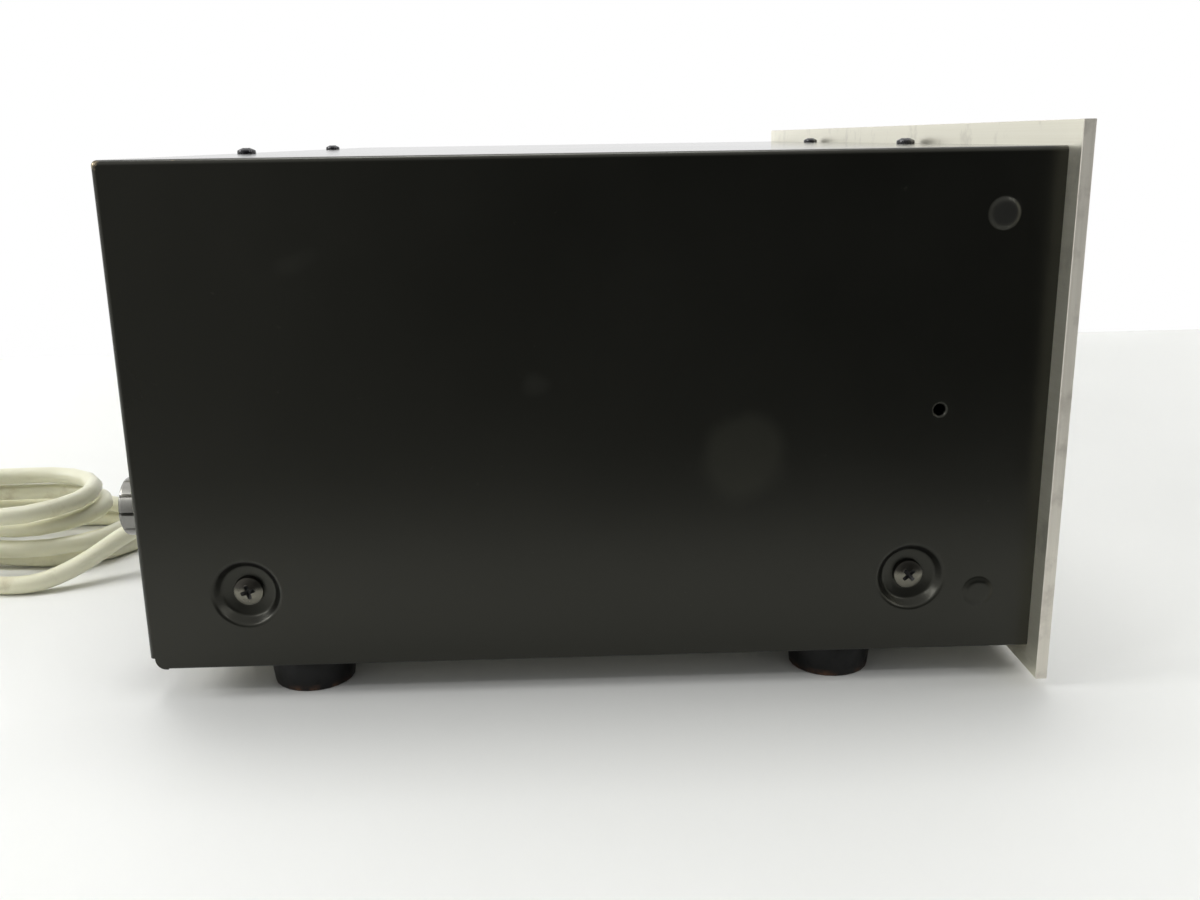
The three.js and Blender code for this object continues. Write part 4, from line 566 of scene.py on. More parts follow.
def hull(points):
    """The corners of the convex outline round points of (across, up, label), counter-clockwise."""
    def half(ordered):
        line = []
        for point in ordered:
            while len(line) > 1 and (
                (line[-1][0] - line[-2][0]) * (point[1] - line[-2][1])
                - (line[-1][1] - line[-2][1]) * (point[0] - line[-2][0])
            ) <= 1e-12:
                line.pop()
            line.append(point)
        return line[:-1]

    ordered = sorted(points)
    return half(ordered) + half(ordered[::-1])


tie_half_width, tie_thick, tie_slack = 0.0045, 0.0009, 0.00015
strands = [
    hank_point(max(turns + shift * tie_half_width / turn_length, 0))
    for turns in (0, 0.5, 1, 1.5, 2, 2.5, 3, 3.5) for shift in (-1, 0, 1)
]
strand_sides = 40
inside = lead_radius + tie_slack
around = hull([
    (strand.x + inside * cos(a), strand.z + inside * sin(a), (strand.x, strand.z, a))
    for strand in strands for a in (tau * k / strand_sides for k in range(strand_sides))
])
tie_edge = 0.0002
tie_rows = [
    (-1, tie_edge, 0), (-1, tie_thick - tie_edge, 0), (-1, tie_thick, tie_edge), (1, tie_thick, tie_edge),
    (1, tie_thick - tie_edge, 0), (1, tie_edge, 0), (1, 0, tie_edge), (-1, 0, tie_edge),
]
tie = bmesh.new()
loops = [
    [
        tie.verts.new((
            across + (inside + out) * cos(a), waist + end * (tie_half_width - inset),
            up + (inside + out) * sin(a),
        ))
        for _, _, (across, up, a) in around
    ]
    for end, out, inset in tie_rows
]
skin(tie, loops + loops[:1])
strap = link_mesh("tie_strap", tie, black_strap, 30)
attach(strap, "case")
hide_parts("cord_tie")


def modify(piece, name, kind, **settings):
    modifier = piece.modifiers.new(name, kind)
    for key, value in settings.items():
        setattr(modifier, key, value)


def dress(node, material, edge=0.0, smooth_angle=35):
    """Gives a carried-over solid its finish, smooth round faces and, with an edge, broken corners."""
    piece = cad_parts[node]
    mesh = piece.data
    mesh.materials.clear()
    mesh.materials.append(material)
    mesh.polygons.foreach_set("use_smooth", [True] * len(mesh.polygons))
    sharpest = radians(smooth_angle)
    modify(piece, "weld", "WELD", merge_threshold=0.000005)
    if edge:
        modify(piece, "flats", "DECIMATE", decimate_type="DISSOLVE", angle_limit=radians(1))
        modify(
            piece, "broken_edges", "BEVEL", width=edge, segments=2, limit_method="ANGLE",
            angle_limit=sharpest, harden_normals=True,
        )
    else:
        modify(piece, "sharp_edges", "EDGE_SPLIT", split_angle=sharpest)


# Cover: one sheet of 1.2 mm steel folded over the sides and top, with pressed cups for the side screws,
# sprayed in satin black. Years of handling left hair scratches, rubbed bends and a bare rear corner.
scratches, given, result = make_group("scratches", {"Density": 60.0, "Amount": 0.5, "Slant": 0.3}, "Mask")
place = add(scratches, "NewGeometry")
masks = []
for turned_by, stretch in ((0.25, 16), (1.35, 22), (2.2, 12)):
    slanted = calc(scratches, "ADD", given.outputs["Slant"], turned_by)
    turning = add(scratches, "CombineXYZ")
    feed(turning, {"X": slanted, "Y": slanted, "Z": slanted})
    mapping = add(scratches, "Mapping", {"Scale": (stretch, 1, 1), "Vector": place, "Rotation": turning})
    lines = add(scratches, "TexNoise", {
        "Detail": 1, "Distortion": 0.15, "Vector": mapping, "Scale": given.outputs["Density"],
    })
    masks.append(add(scratches, "MapRange", {"From Min": 0.735, "From Max": 0.78, "Value": lines}))
together = masks[0]
for mask in masks[1:]:
    together = calc(scratches, "MAXIMUM", together, mask)
strong = calc(scratches, "MULTIPLY", together, given.outputs["Amount"])
feed(result, {"Mask": strong})

# A round spot: full at the spot and gone at the reach, with a ragged edge. It marks rubbed-off paint, and
# also a painted reflection on the side.
spot_mask, given, result = make_group("spot_mask", {
    "Spot": (0, 0, 0), "Stretch": (1, 1, 1), "Reach": 0.01, "Raggedness": 700.0,
}, "Mask")
place = add(spot_mask, "NewGeometry")
apart = vector_calc(spot_mask, "SUBTRACT", place, given.outputs["Spot"])
scaled = vector_calc(spot_mask, "DIVIDE", apart, given.outputs["Stretch"])
away = vector_calc(spot_mask, "LENGTH", scaled)
share = calc(spot_mask, "DIVIDE", away.outputs["Value"], given.outputs["Reach"])
ragged = add(spot_mask, "TexNoise", {"Detail": 5, "Vector": place, "Scale": given.outputs["Raggedness"]})
shifted = calc(spot_mask, "ADD", share, ragged)
fade = add(spot_mask, "MapRange", {"From Min": 1.25, "From Max": 1.0, "Value": shifted})
feed(result, {"Mask": fade})


cover_low, cover_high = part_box("bonnet_cover")
wall_across = (cover_high.x - cover_low.x) / 2
cover_sheet = 0.0012
top_bend, rear_bend, foot_bend = 0.0015, 0.0015, 0.0008
bend_end = cover_high.y - rear_bend
flange_width, flange_foot = 0.009, cover_low.z + 0.0034
foot_lip = 0.0059
cup_middles = [middle_of(f"side_screw_{end}_left")[1:] for end in ("front", "rear")]
boss_middles = [(cover_low.y + 0.0157, cover_low.z + 0.0172), (cover_low.y + 0.0157, cover_low.z + 0.123)]
side_hole = (cover_low.y + 0.0296, cover_low.z + 0.0704)
cup_profile = [
    (10.2, 0), (9.94, 0.02), (9.69, 0.09), (9.45, 0.2), (9.24, 0.35), (9.05, 0.54), (8.88, 0.77),
    (8.33, 1.48), (7.8, 2.15), (7.55, 2.4), (7.25, 2.57), (6.9, 2.68), (6.0, 2.86), (5.2, 3.03), (4.4, 3.2),
    (1.9, 3.2),
]
boss_profile = [
    (4.6, 0), (4.4, -0.03), (4.15, -0.12), (3.85, -0.27), (3.5, -0.43), (3.15, -0.54), (2.8, -0.60),
    (2.3, -0.63), (0, -0.64),
]
sunk_profile = [(2.3, 0), (2.15, 0.04), (1.95, 0.16), (1.75, 0.34), (1.6, 0.52), (1.5, 0.75)]
pressings = [(middle, cup_profile) for middle in cup_middles]
pressings += [(middle, boss_profile) for middle in boss_middles] + [(side_hole, sunk_profile)]


def circle_points(middle, radius, sides=48):
    return [
        (middle[0] + radius * cos(a), middle[1] + radius * sin(a))
        for a in (tau * k / sides for k in range(sides))
    ]


def filled(bm, outline, holes, placed):
    """A flat face inside the outline and round the holes, given in two directions and placed in space."""
    edges = []
    for points in (outline, *holes):
        corners = [bm.verts.new(placed(*point)) for point in points]
        edges += [bm.edges.new((a, b)) for a, b in zip(corners, corners[1:] + corners[:1])]
    bmesh.ops.triangle_fill(bm, use_beauty=True, use_dissolve=False, edges=edges)


def pressed(bm, middle, profile, placed):
    """Rings of a round pressing, from its mouth in the wall to its floor."""
    rings = [
        [bm.verts.new(placed(*point, depth / 1000)) for point in circle_points(middle, radius / 1000)]
        if radius else [bm.verts.new(placed(*middle, depth / 1000))]
        for radius, depth in profile
    ]
    skin(bm, rings)


quarter_turn = [pi / 2 * k / 8 for k in range(9)]
bonnet = bmesh.new()
for side in (-1, 1):
    def on_wall(y, z, depth=0.0, side=side):
        return (side * (wall_across - depth), y, z)

    corner = [
        (bend_end - 0.003 + 0.003 * sin(a), cover_low.z + 0.003 - 0.003 * cos(a))
        for a in quarter_turn
    ]
    lip_end = bend_end - 0.0035
    wall_outline = [
        (cover_low.y, cover_low.z + foot_bend), (lip_end, cover_low.z + foot_bend), (lip_end, cover_low.z),
        *corner, (bend_end, flange_foot), (bend_end, cover_high.z - top_bend),
        (cover_low.y, cover_high.z - top_bend),
    ]
    wall_holes = [circle_points(middle, profile[0][0] / 1000) for middle, profile in pressings]
    filled(bonnet, wall_outline, wall_holes, on_wall)
    for middle, profile in pressings:
        pressed(bonnet, middle, profile, on_wall)
    lip_line = [
        (foot_bend * (1 - cos(a)), cover_low.z + foot_bend * (1 - sin(a)))
        for a in (pi / 2 * k / 4 for k in range(5))
    ] + [(foot_lip, cover_low.z)]
    lip_ends = (cover_low.y, lip_end)
    lip_rows = [[bonnet.verts.new(on_wall(y, z, depth)) for depth, z in lip_line] for y in lip_ends]
    skin(bonnet, lip_rows, False)

top_reach = wall_across - top_bend
top_outline = [
    (-top_reach, cover_low.y), (top_reach, cover_low.y), (top_reach, bend_end), (-top_reach, bend_end),
]
top_holes = [
    circle_points(middle_of(f"top_screw_{end}_{hand}")[:2], 0.0018, 24)
    for hand in ("left", "right") for end in ("front", "rear")
]
filled(bonnet, top_outline, top_holes, lambda x, y: (x, y, cover_high.z))


def fold_line(inset, foot):
    """The case's outline seen from the rear, moved in by the inset: up a side, over the top and down."""
    reach = wall_across - inset
    radius = max(top_bend - inset, 0)
    crown = cover_high.z - inset - radius
    left = [(radius - reach - radius * cos(a), crown + radius * sin(a)) for a in quarter_turn]
    line = [(-reach, foot), *left]
    return line + [(-x, z) for x, z in reversed(line)]


rows = [(0, cover_low.y)]
rows += [(rear_bend * (1 - cos(a)), bend_end + rear_bend * sin(a)) for a in quarter_turn]
rows.append((flange_width, cover_high.y))
folds = [[bonnet.verts.new((x, y, z)) for x, z in fold_line(inset, flange_foot)] for inset, y in rows]
for index, (near, far) in enumerate(zip(folds, folds[1:])):
    for k in range(len(near) - 1):
        if index or k not in (0, 9, 18):
            bonnet.faces.new((near[k], near[k + 1], far[k + 1], far[k]))
bmesh.ops.remove_doubles(bonnet, verts=bonnet.verts, dist=0.000002)

satin_black, tree, surface = new_material("satin_black")
haze = grime(tree, 9.0, 0.35, 0.75)
specks = grime(tree, 420.0, 0.69, 0.74)
hairs = use_group(tree, scratches, Density=26.0, Amount=0.5, Slant=0.3)
coat = blend_colours(tree, haze, (0.0035, 0.0036, 0.0032), (0.0060, 0.0060, 0.0052))
coat = blend_colours(tree, specks, coat, (0.022, 0.021, 0.018))
coat = blend_colours(tree, hairs, coat, (0.035, 0.035, 0.03))
# Painted reflection: a soft paler spot on the left side, where the satin paint mirrors the camera.
painted_reflection = use_group(
    tree, spot_mask, Spot=(cover_low.x, cover_low.y + 0.0835, cover_low.z + 0.0575), Reach=0.0185,
    Raggedness=28.0,
)
coat = blend_colours(tree, painted_reflection, coat, (0.0150, 0.0150, 0.0118))
# The paint is paler over the upper boss on the left side.
pale_spots = use_group(tree, spot_mask, Spot=(cover_low.x, *boss_middles[1]), Reach=0.0062, Raggedness=60.0)
coat = blend_colours(tree, pale_spots, coat, (0.021, 0.021, 0.0195))
bare_corner = use_group(
    tree, spot_mask, Spot=(cover_low.x, cover_high.y, cover_high.z), Stretch=(1, 1, 1.2), Reach=0.0030,
)
bare_bend = use_group(
    tree, spot_mask, Spot=(cover_low.x, cover_high.y - 0.021, cover_high.z), Stretch=(0.5, 2.5, 0.35),
    Reach=0.0020,
)
bare_and_lit = calc(tree, "MAXIMUM", bare_corner, bare_bend)
feed(surface, {"Base Color": blend_colours(tree, bare_and_lit, coat, (0.27, 0.225, 0.155)), "Metallic": bare_and_lit})
along_it = add(tree, "LayerWeight")
rough = spread_between(tree, haze, 0.27, 0.33)
gloss = calc(
    tree, "MULTIPLY", rough, spread_between(tree, along_it.outputs["Facing"], 1, 0.25, 0.85, 1.0),
)
feed(surface, {"Roughness": gloss, "Specular IOR Level": 0.5, "Specular Tint": (0.93, 0.925, 0.80, 1)})
bump(tree, surface, haze.outputs["Grain"], 0.00002, 0.4)

cover = link_mesh("cover", bonnet, satin_black, 35)
modify(cover, "sheet", "SOLIDIFY", thickness=cover_sheet, offset=-1, use_even_offset=True)
modify(cover, "creases", "EDGE_SPLIT", split_angle=radians(35))
modify(cover, "flats", "WEIGHTED_NORMAL", keep_sharp=True)
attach(cover, "case")
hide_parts("bonnet_cover")
dress("rear_panel", satin_black, 0.0002)


# Front panel: a 3.3 mm plate of natural aluminium, sawn and milled on its edges and brushed along its
# face, held to the subpanel's posts from behind. Its edges carry tool marks and small nicks.
brushing, given, result = make_group(
    "brushing", {"Along": (6, 900, 900), "Contrast": 1.0}, "Streaks", "Patches",
)
place = add(brushing, "NewGeometry")
drawn_out = vector_calc(brushing, "MULTIPLY", place, given.outputs["Along"])
streaks = add(brushing, "TexNoise", {"Scale": 1, "Detail": 4, "Vector": drawn_out})
steeper = calc(brushing, "MULTIPLY_ADD", streaks, given.outputs["Contrast"], 0)
feed(result, {"Streaks": steeper})
patches = add(brushing, "TexNoise", {"Scale": 22, "Detail": 3, "Vector": place})
feed(result, {"Patches": patches})


def streaky(name, along, tints, spots, soiled, gloss, metallic, relief, strength, sheen=0.0):
    """Aluminium streaked between two tints, with soil in spots of (coarseness, clean, soiled)."""
    material, tree, surface = new_material(name)
    streaks = use_group(tree, brushing, Along=along, Contrast=1.0)
    feed(surface, {
        "Base Color": blend_colours(tree, grime(tree, *spots), blend_colours(tree, streaks, *tints), soiled),
        "Metallic": metallic, "Anisotropic": sheen, "Roughness": spread_between(tree, streaks, *gloss),
    })
    bump(tree, surface, streaks, relief, strength)
    return material


mill_finish = streaky(
    "mill_finish", (9, 1400, 1400), ((0.86, 0.83, 0.68), (0.95, 0.93, 0.80)),
    (70.0, 0.56, 0.80), (0.62, 0.59, 0.50), (0.30, 0.38),
    metallic=0.85, relief=0.000008, strength=0.3,
)
sawn_edge = streaky(
    "sawn_edge", (1500, 1500, 40), ((0.68, 0.64, 0.555), (0.83, 0.79, 0.70)),
    (110.0, 0.5, 0.78), (0.50, 0.46, 0.40), (0.38, 0.5),
    metallic=0.35, relief=0.00001, strength=0.4,
)
brushed_face = streaky(
    "brushed_face", (3.5, 2200, 2200), ((0.70, 0.70, 0.685), (0.80, 0.80, 0.79)),
    (16.0, 0.45, 0.8), (0.68, 0.675, 0.65), (0.28, 0.42),
    metallic=1.0, relief=0.000006, strength=0.4, sheen=0.6,
)

panel_low, panel_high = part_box("front_panel")
panel_edge = 0.00015
window_left, window_right = panel_low.x + 0.0375, panel_high.x - 0.1255
window_middle = ((window_left + window_right) / 2, middle_of("signal_meter")[2])
window_size, window_corner = (window_right - window_left, 0.040), 0.003
lever_slot, slot_corner, slot_height = (0.0066, 0.012), 0.0022, 0.05165


def round_rectangle(middle, size, corner, steps=6):
    """Points round a rectangle with rounded corners."""
    points = []
    for across, up, turned in ((1, 1, 0), (-1, 1, 1), (-1, -1, 2), (1, -1, 3)):
        for k in range(steps + 1):
            a = pi / 2 * (turned + k / steps)
            points.append((
                middle[0] + across * (size[0] / 2 - corner) + corner * cos(a),
                middle[1] + up * (size[1] / 2 - corner) + corner * sin(a),
            ))
    return points


def offset_loop(points, by):
    """The closed loop moved outwards by the distance, corner by corner."""
    moved = []
    for before, here, after in zip(points[-1:] + points[:-1], points, points[1:] + points[:1]):
        first = Vector((here[0] - before[0], here[1] - before[1])).normalized()
        second = Vector((after[0] - here[0], after[1] - here[1])).normalized()
        normal = Vector((first.y + second.y, -first.x - second.x))
        normal /= max(normal.length_squared / 2, 1e-9)
        moved.append((here[0] + normal.x * by, here[1] + normal.y * by))
    return moved


def plate(bm, outline, holes, front, back, edge):
    """A plate standing upright, its outline and holes given counter-clockwise, every edge broken."""
    rims = [(outline, 1)] + [(hole, -1) for hole in holes]
    for y, inset in ((front, edge), (back, edge)):
        faces = [offset_loop(points, -inset * sign) for points, sign in rims]
        filled(bm, faces[0], faces[1:], lambda x, z, y=y: (x, y, z))
    for points, sign in rims:
        slim = offset_loop(points, -edge * sign)
        rows = [(slim, front), (points, front + edge), (points, back - edge), (slim, back)]
        skin(bm, [[bm.verts.new((x, y, z)) for x, z in loop] for loop, y in rows])
    bmesh.ops.remove_doubles(bm, verts=bm.verts, dist=0.000002)


panel_outline = [
    (panel_low.x, panel_low.z), (panel_high.x, panel_low.z), (panel_high.x, panel_high.z),
    (panel_low.x, panel_high.z),
]
panel_holes = [round_rectangle(window_middle, window_size, window_corner)]
for node in ("power_lever", "muting_lever", "mode_lever"):
    panel_holes.append(round_rectangle((middle_of(node)[0], slot_height), lever_slot, slot_corner))
for node, radius in (("tuning_knob", 0.0063), ("selector_knob", 0.006)):
    panel_holes.append(circle_points(middle_of(node)[::2], radius))
bm = bmesh.new()
plate(bm, panel_outline, panel_holes, panel_low.y, panel_high.y, panel_edge)
for face in bm.faces:
    middle = face.calc_center_median()
    if middle.y < panel_low.y + panel_edge / 4:
        face.material_index = 1
    elif middle.y > panel_high.y - panel_edge / 4:
        face.material_index = 2
panel = link_mesh("front_panel_plate", bm, sawn_edge, 30)
panel.data.materials.append(brushed_face)
panel.data.materials.append(mill_finish)
modify(panel, "flats", "WEIGHTED_NORMAL", keep_sharp=True)
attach(panel, "case")
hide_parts("front_panel")


# Feet: moulded black rubber discs, a little narrower at the floor, with floor dust on their lower rims.
foot_rubber, tree, surface = new_material("foot_rubber")
pale_spots = grime(tree, 260.0, 0.46, 0.7)
place = add(tree, "NewGeometry")
parts = add(tree, "SeparateXYZ", {0: place})
low_rim = spread_between(tree, parts.outputs["Z"], 1, 0, 0.0, 0.0022)
dusty = calc(tree, "MULTIPLY", low_rim, pale_spots)
black = blend_colours(tree, pale_spots.outputs["Grain"], (0.0015, 0.0015, 0.0015), (0.004, 0.004, 0.0038))
feed(surface, {
    "Base Color": blend_colours(tree, dusty, black, (0.16, 0.08, 0.045)),
    "Roughness": spread_between(tree, pale_spots, 0.4, 0.7), "Specular IOR Level": 0.3,
})
bump(tree, surface, pale_spots.outputs["Grain"], 0.00005, 0.5)
for foot in ("foot_front_left", "foot_front_right", "foot_rear_left", "foot_rear_right"):
    dress(foot, foot_rubber, 0.0004)


# Screws: cross-recessed pan heads of blackened steel, cold-headed, two through each side and four
# through the top. The side screws' heads carry painted light: lighter grey on their lower halves, dark
# above.
blackened_steel, tree, surface = new_material("blackened_steel")
rub = grime(tree, 260.0, 0.3, 0.8)
place = add(tree, "NewGeometry")
parts = add(tree, "SeparateXYZ", {0: place})
# Painted light: below a ragged line just above their middle, the side screws' heads turn lighter grey. This
# stands in for the bright table that their lower halves mirror; above the line they stay dark.
ragged = calc(tree, "MULTIPLY_ADD", rub.outputs["Grain"], 0.0016, parts.outputs["Z"])
screw_height = middle_of("side_screw_front_left")[2]
lit_lower_half = spread_between(tree, ragged, 1, 0, screw_height + 0.0008, screw_height + 0.0021)
dark = blend_colours(tree, rub, (0.035, 0.033, 0.03), (0.075, 0.07, 0.06))
bare_and_lit = blend_colours(tree, rub, (0.155, 0.15, 0.125), (0.22, 0.21, 0.17))
feed(surface, {
    "Base Color": blend_colours(tree, lit_lower_half, dark, bare_and_lit), "Metallic": 0.9,
    "Roughness": spread_between(tree, rub, 0.26, 0.36),
})
bump(tree, surface, rub.outputs["Grain"], 0.00002, 0.4)

glossy_black = mottled(
    "glossy_black", (500.0, 0.5, 0.7), (0.012, 0.012, 0.016), (0.05, 0.048, 0.05), (0.14, 0.3),
    metallic=0.2, relief=0.00002, strength=0.3,
)


def cross_outline(reach, half, turn):
    """The outline of a cross recess, in millimetres, turned about the middle."""
    arm = [(reach, -half), (reach * 1.04, 0), (reach, half), (half * 1.2, half * 1.2)]
    points = []
    for k in range(4):
        a = turn + pi / 2 * k
        points += [(x * cos(a) - y * sin(a), x * sin(a) + y * cos(a)) for x, y in arm]
    return points


def pan_screw(name, middle, outward, size, turn, material):
    """A pan-headed screw seated at the middle; its size is (radius, rise, shank's radius, shank's reach)."""
    radius, rise, shank_radius, shank_reach = size
    outward = Vector(outward)
    first = outward.orthogonal().normalized()
    second = outward.cross(first)

    def placed(x, y, height=0.0):
        return Vector(middle) + (first * x + second * y + outward * height) / 1000

    def dome(share):
        return rise * (1 - 0.5 * share ** 2.2)

    bm = bmesh.new()
    profile = [(0, -shank_reach), (shank_radius * 0.7, -shank_reach), (shank_radius, -shank_reach + 0.6)]
    profile += [(shank_radius, 0), (radius * 0.97, 0), (radius, 0.08), (radius, rise * 0.28)]
    profile += [(radius * 0.985, rise * 0.4)]
    profile += [(radius * share, dome(share)) for share in (0.955, 0.92, 0.86, 0.78, 0.68, 0.56)]
    lathe(bm, [(r / 1000, along / 1000) for r, along in profile], middle, outward, 48)
    cuts = ((0.5, 0.15, 0.0), (0.47, 0.125, 0.05), (0.25, 0.07, 0.66))
    outlines = [
        [
            (x * radius, y * radius, dome(hypot(x, y)) if not down else rise * (1 - down))
            for x, y in cross_outline(reach, half, turn)
        ]
        for reach, half, down in cuts
    ]
    brim = [(x * 1000, y * 1000, dome(0.56)) for x, y in circle_points((0, 0), radius * 0.56 / 1000)]
    filled(bm, brim, [outlines[0]], placed)
    recess = []
    for upper, lower in zip(outlines, outlines[1:]):
        corners = [[bm.verts.new(placed(*point)) for point in outline] for outline in (upper, lower)]
        for k in range(16):
            n = (k + 1) % 16
            recess.append(bm.faces.new((corners[0][k], corners[0][n], corners[1][n], corners[1][k])))
    bottom = [bm.verts.new(placed(*point)) for point in outlines[-1]]
    point = bm.verts.new(placed(0, 0, rise * 0.2))
    recess += [bm.faces.new((bottom[k], bottom[(k + 1) % 16], point)) for k in range(16)]
    # Painted shade: the deeper walls and the floor of the cross recess take the near-black rubber finish,
    # standing in for the shade inside it.
    for face in recess[16:]:
        face.material_index = 1
    bmesh.ops.remove_doubles(bm, verts=bm.verts, dist=0.000003)
    screw = link_mesh(name, bm, material, 38)
    screw.data.materials.append(black_rubber_and_recess_shade)
    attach(screw, "case")
    return screw


screw_turns = {"front": 0.06, "rear": 0.52}
screw_lift = 0.00001
side_size, top_size = (4.2, 2.0, 1.45, 7.0), (3.3, 2.0, 1.4, 5.0)
for end in ("front", "rear"):
    for hand, out in (("left", -1), ("right", 1)):
        seat = out * (wall_across - cup_profile[-1][1] / 1000 + screw_lift)
        side_screw = pan_screw(
            f"side_screw_{end}_{hand}_head", (seat, *middle_of(f"side_screw_{end}_{hand}")[1:]),
            (out, 0, 0), side_size, screw_turns[end] * out + 0.9 * (out > 0), blackened_steel,
        )
        seat = (*middle_of(f"top_screw_{end}_{hand}")[:2], cover_high.z + screw_lift)
        top_screw = pan_screw(
            f"top_screw_{end}_{hand}_head", seat, (0, 0, 1), top_size, 0.7 + screw_turns[end] * out,
            glossy_black,
        )
        for screw, node in ((side_screw, "side"), (top_screw, "top")):
            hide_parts(f"{node}_screw_{end}_{hand}")


# Dial: a plate sprayed dark green, with its two rows of numbers and marks silk-screened in pale ink. The
# pointer's blade passes just in front of it, and a clear pane closes the window.
def coloured(name, first, second, roughness, metallic=0.0, coarseness=120.0):
    """A finish mottled between two colours, a little rougher where it is soiled."""
    spots, gloss = (coarseness, 0.4, 0.75), (roughness, roughness + 0.15)
    return mottled(name, spots, first, second, gloss, metallic, 0.00003)


def brick(bm, low, high):
    """A small block between two corners."""
    spans = Vector(high) - Vector(low)
    made = bmesh.ops.create_cube(bm, size=1)
    bmesh.ops.scale(bm, vec=spans, verts=made["verts"])
    bmesh.ops.translate(bm, vec=(Vector(high) + Vector(low)) / 2, verts=made["verts"])


def printed(bm, words, place, height, depth):
    """Figures printed on an upright face, centred at the place and read from the front."""
    data = bpy.data.curves.new("figures", "FONT")
    data.body = words
    data.size = height
    data.align_x, data.align_y = "CENTER", "CENTER"
    data.extrude = depth / 2
    data.resolution_u = 3
    figures = bpy.data.objects.new("figures", data)
    shape = bpy.data.meshes.new_from_object(figures)
    shape.transform(Matrix.Translation(place) @ Matrix.Rotation(pi / 2, 4, "X"))
    bm.from_mesh(shape)
    bpy.data.objects.remove(figures)
    bpy.data.curves.remove(data)
    bpy.data.meshes.remove(shape)


glass, tree, surface = new_material("clear_glass")
film = grime(tree, 18.0, 0.4, 0.8)
feed(surface, {
    "Base Color": blend_colours(tree, film, (0.97, 0.98, 0.98), (0.93, 0.95, 0.94)),
    "Roughness": 0.03, "Transmission Weight": 1, "IOR": 1.5,
})
dress("dial_glass", glass)
dial_paint = coloured("dial_paint", (0.012, 0.022, 0.020), (0.02, 0.03, 0.027), 0.45)
dress("dial_scale", dial_paint)

scale_low, scale_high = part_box("dial_scale")
ink_depth = 0.00006
scale_face = scale_low.y - ink_depth / 2
dial_middle = middle_of("dial_pointer")[0]
dial_reach = 0.068
upper_line, lower_line = scale_high.z - 0.0128, scale_low.z + 0.0128
dial_ink = coloured("dial_ink", (0.72, 0.76, 0.66), (0.60, 0.64, 0.55), 0.5)
bm = bmesh.new()


def stroke(across, half_width, low, high):
    """A bar of ink on the scale, upright from the low height to the high one."""
    front, back = scale_face - ink_depth / 2, scale_face + ink_depth / 2
    brick(bm, (across - half_width, front, low), (across + half_width, back, high))


for line, up, figures, steps in (
    (upper_line, 1, ("88", "92", "96", "100", "104", "108"), 20),
    (lower_line, -1, ("54", "60", "80", "100", "130", "160"), 25),
):
    stroke(dial_middle, dial_reach, line - 0.00012, line + 0.00012)
    for k in range(steps + 1):
        across = dial_middle + dial_reach * (2 * k / steps - 1)
        high = 0.0026 if k % (steps // 5) == 0 else 0.0014
        stroke(across, 0.00011, *sorted((line, line + up * high)))
    for k, figure in enumerate(figures):
        across = dial_middle + dial_reach * (2 * k / (len(figures) - 1) - 1)
        printed(bm, figure, (across, scale_face, line + up * 0.0056), 0.0042, ink_depth)
fine_steps = 50
for k in range(fine_steps + 1):
    across = dial_middle + dial_reach * (2 * k / fine_steps - 1)
    half = 0.0011 if k % 5 == 0 else 0.0006
    middle = (upper_line + lower_line) / 2
    stroke(across, 0.00009, middle - half, middle + half)
marks = link_mesh("dial_marks", bm, dial_ink, 40)
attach(marks, "case")
pointer_paint = coloured("pointer_paint", (0.62, 0.07, 0.02), (0.5, 0.05, 0.02), 0.35)
for node in ("dial_pointer", "signal_needle", "tuning_needle"):
    dress(node, pointer_paint)


# Meters: two moving-coil movements in black cases. The faces are cream card with a printed arc, and the
# first reads strength from the left while the second rests at its middle. Their needles are alike.
ivory = coloured("ivory_plastic", (0.66, 0.63, 0.55), (0.58, 0.54, 0.45), 0.4)
meter_case = coloured("meter_case", (0.045, 0.045, 0.042), (0.07, 0.07, 0.066), 0.4)
meter_card = coloured("meter_card", (0.76, 0.72, 0.58), (0.70, 0.65, 0.50), 0.7, 0.0, 60.0)
meter_ink = coloured("meter_ink", (0.02, 0.02, 0.022), (0.05, 0.05, 0.05), 0.6)
for node in ("signal_meter", "tuning_meter"):
    dress(node, meter_case, 0.0002)
arc_half, arc_steps = 38, 40
needle_low, needle_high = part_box("tuning_needle")
pivot_height = needle_low.z + (needle_high.x - needle_low.x) / 2
well_floor, inset = needle_high.y + 0.0002, 0.0022
for node, marks_at in (
    ("signal_meter", (-35, -21, -7, 7, 21, 35)), ("tuning_meter", (-30, -20, -10, 0, 10, 20, 30)),
):
    case_low, case_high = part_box(node)
    across = middle_of(node)[0]
    bm = bmesh.new()
    brick(
        bm, (case_low.x + inset, well_floor, case_low.z + inset),
        (case_high.x - inset, well_floor + 0.00008, case_high.z - inset),
    )
    card = link_mesh(node + "_card", bm, meter_card, 40)
    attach(card, "case")
    bm = bmesh.new()
    rows = []
    for k in range(arc_steps + 1):
        a = radians(-arc_half + 2 * arc_half * k / arc_steps)
        rows.append([
            bm.verts.new((across + r * sin(a), well_floor - 0.00004, pivot_height + r * cos(a)))
            for r in (0.0178, 0.0182)
        ])
    skin(bm, rows, False)
    for index, degrees in enumerate(marks_at):
        a = radians(degrees)
        out = Vector((sin(a), 0, cos(a)))
        side = Vector((cos(a), 0, -sin(a))) * 0.00018
        foot = Vector((across, well_floor - 0.00005, pivot_height))
        bm.faces.new([
            bm.verts.new(foot + out * 0.0180 - side), bm.verts.new(foot + out * 0.0202 - side),
            bm.verts.new(foot + out * 0.0202 + side), bm.verts.new(foot + out * 0.0180 + side),
        ])
        if node == "signal_meter":
            printed(bm, str(index), foot + out * 0.0220, 0.0026, 0.00004)
    ink = link_mesh(node + "_marks", bm, meter_ink, 40)
    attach(ink, "case")


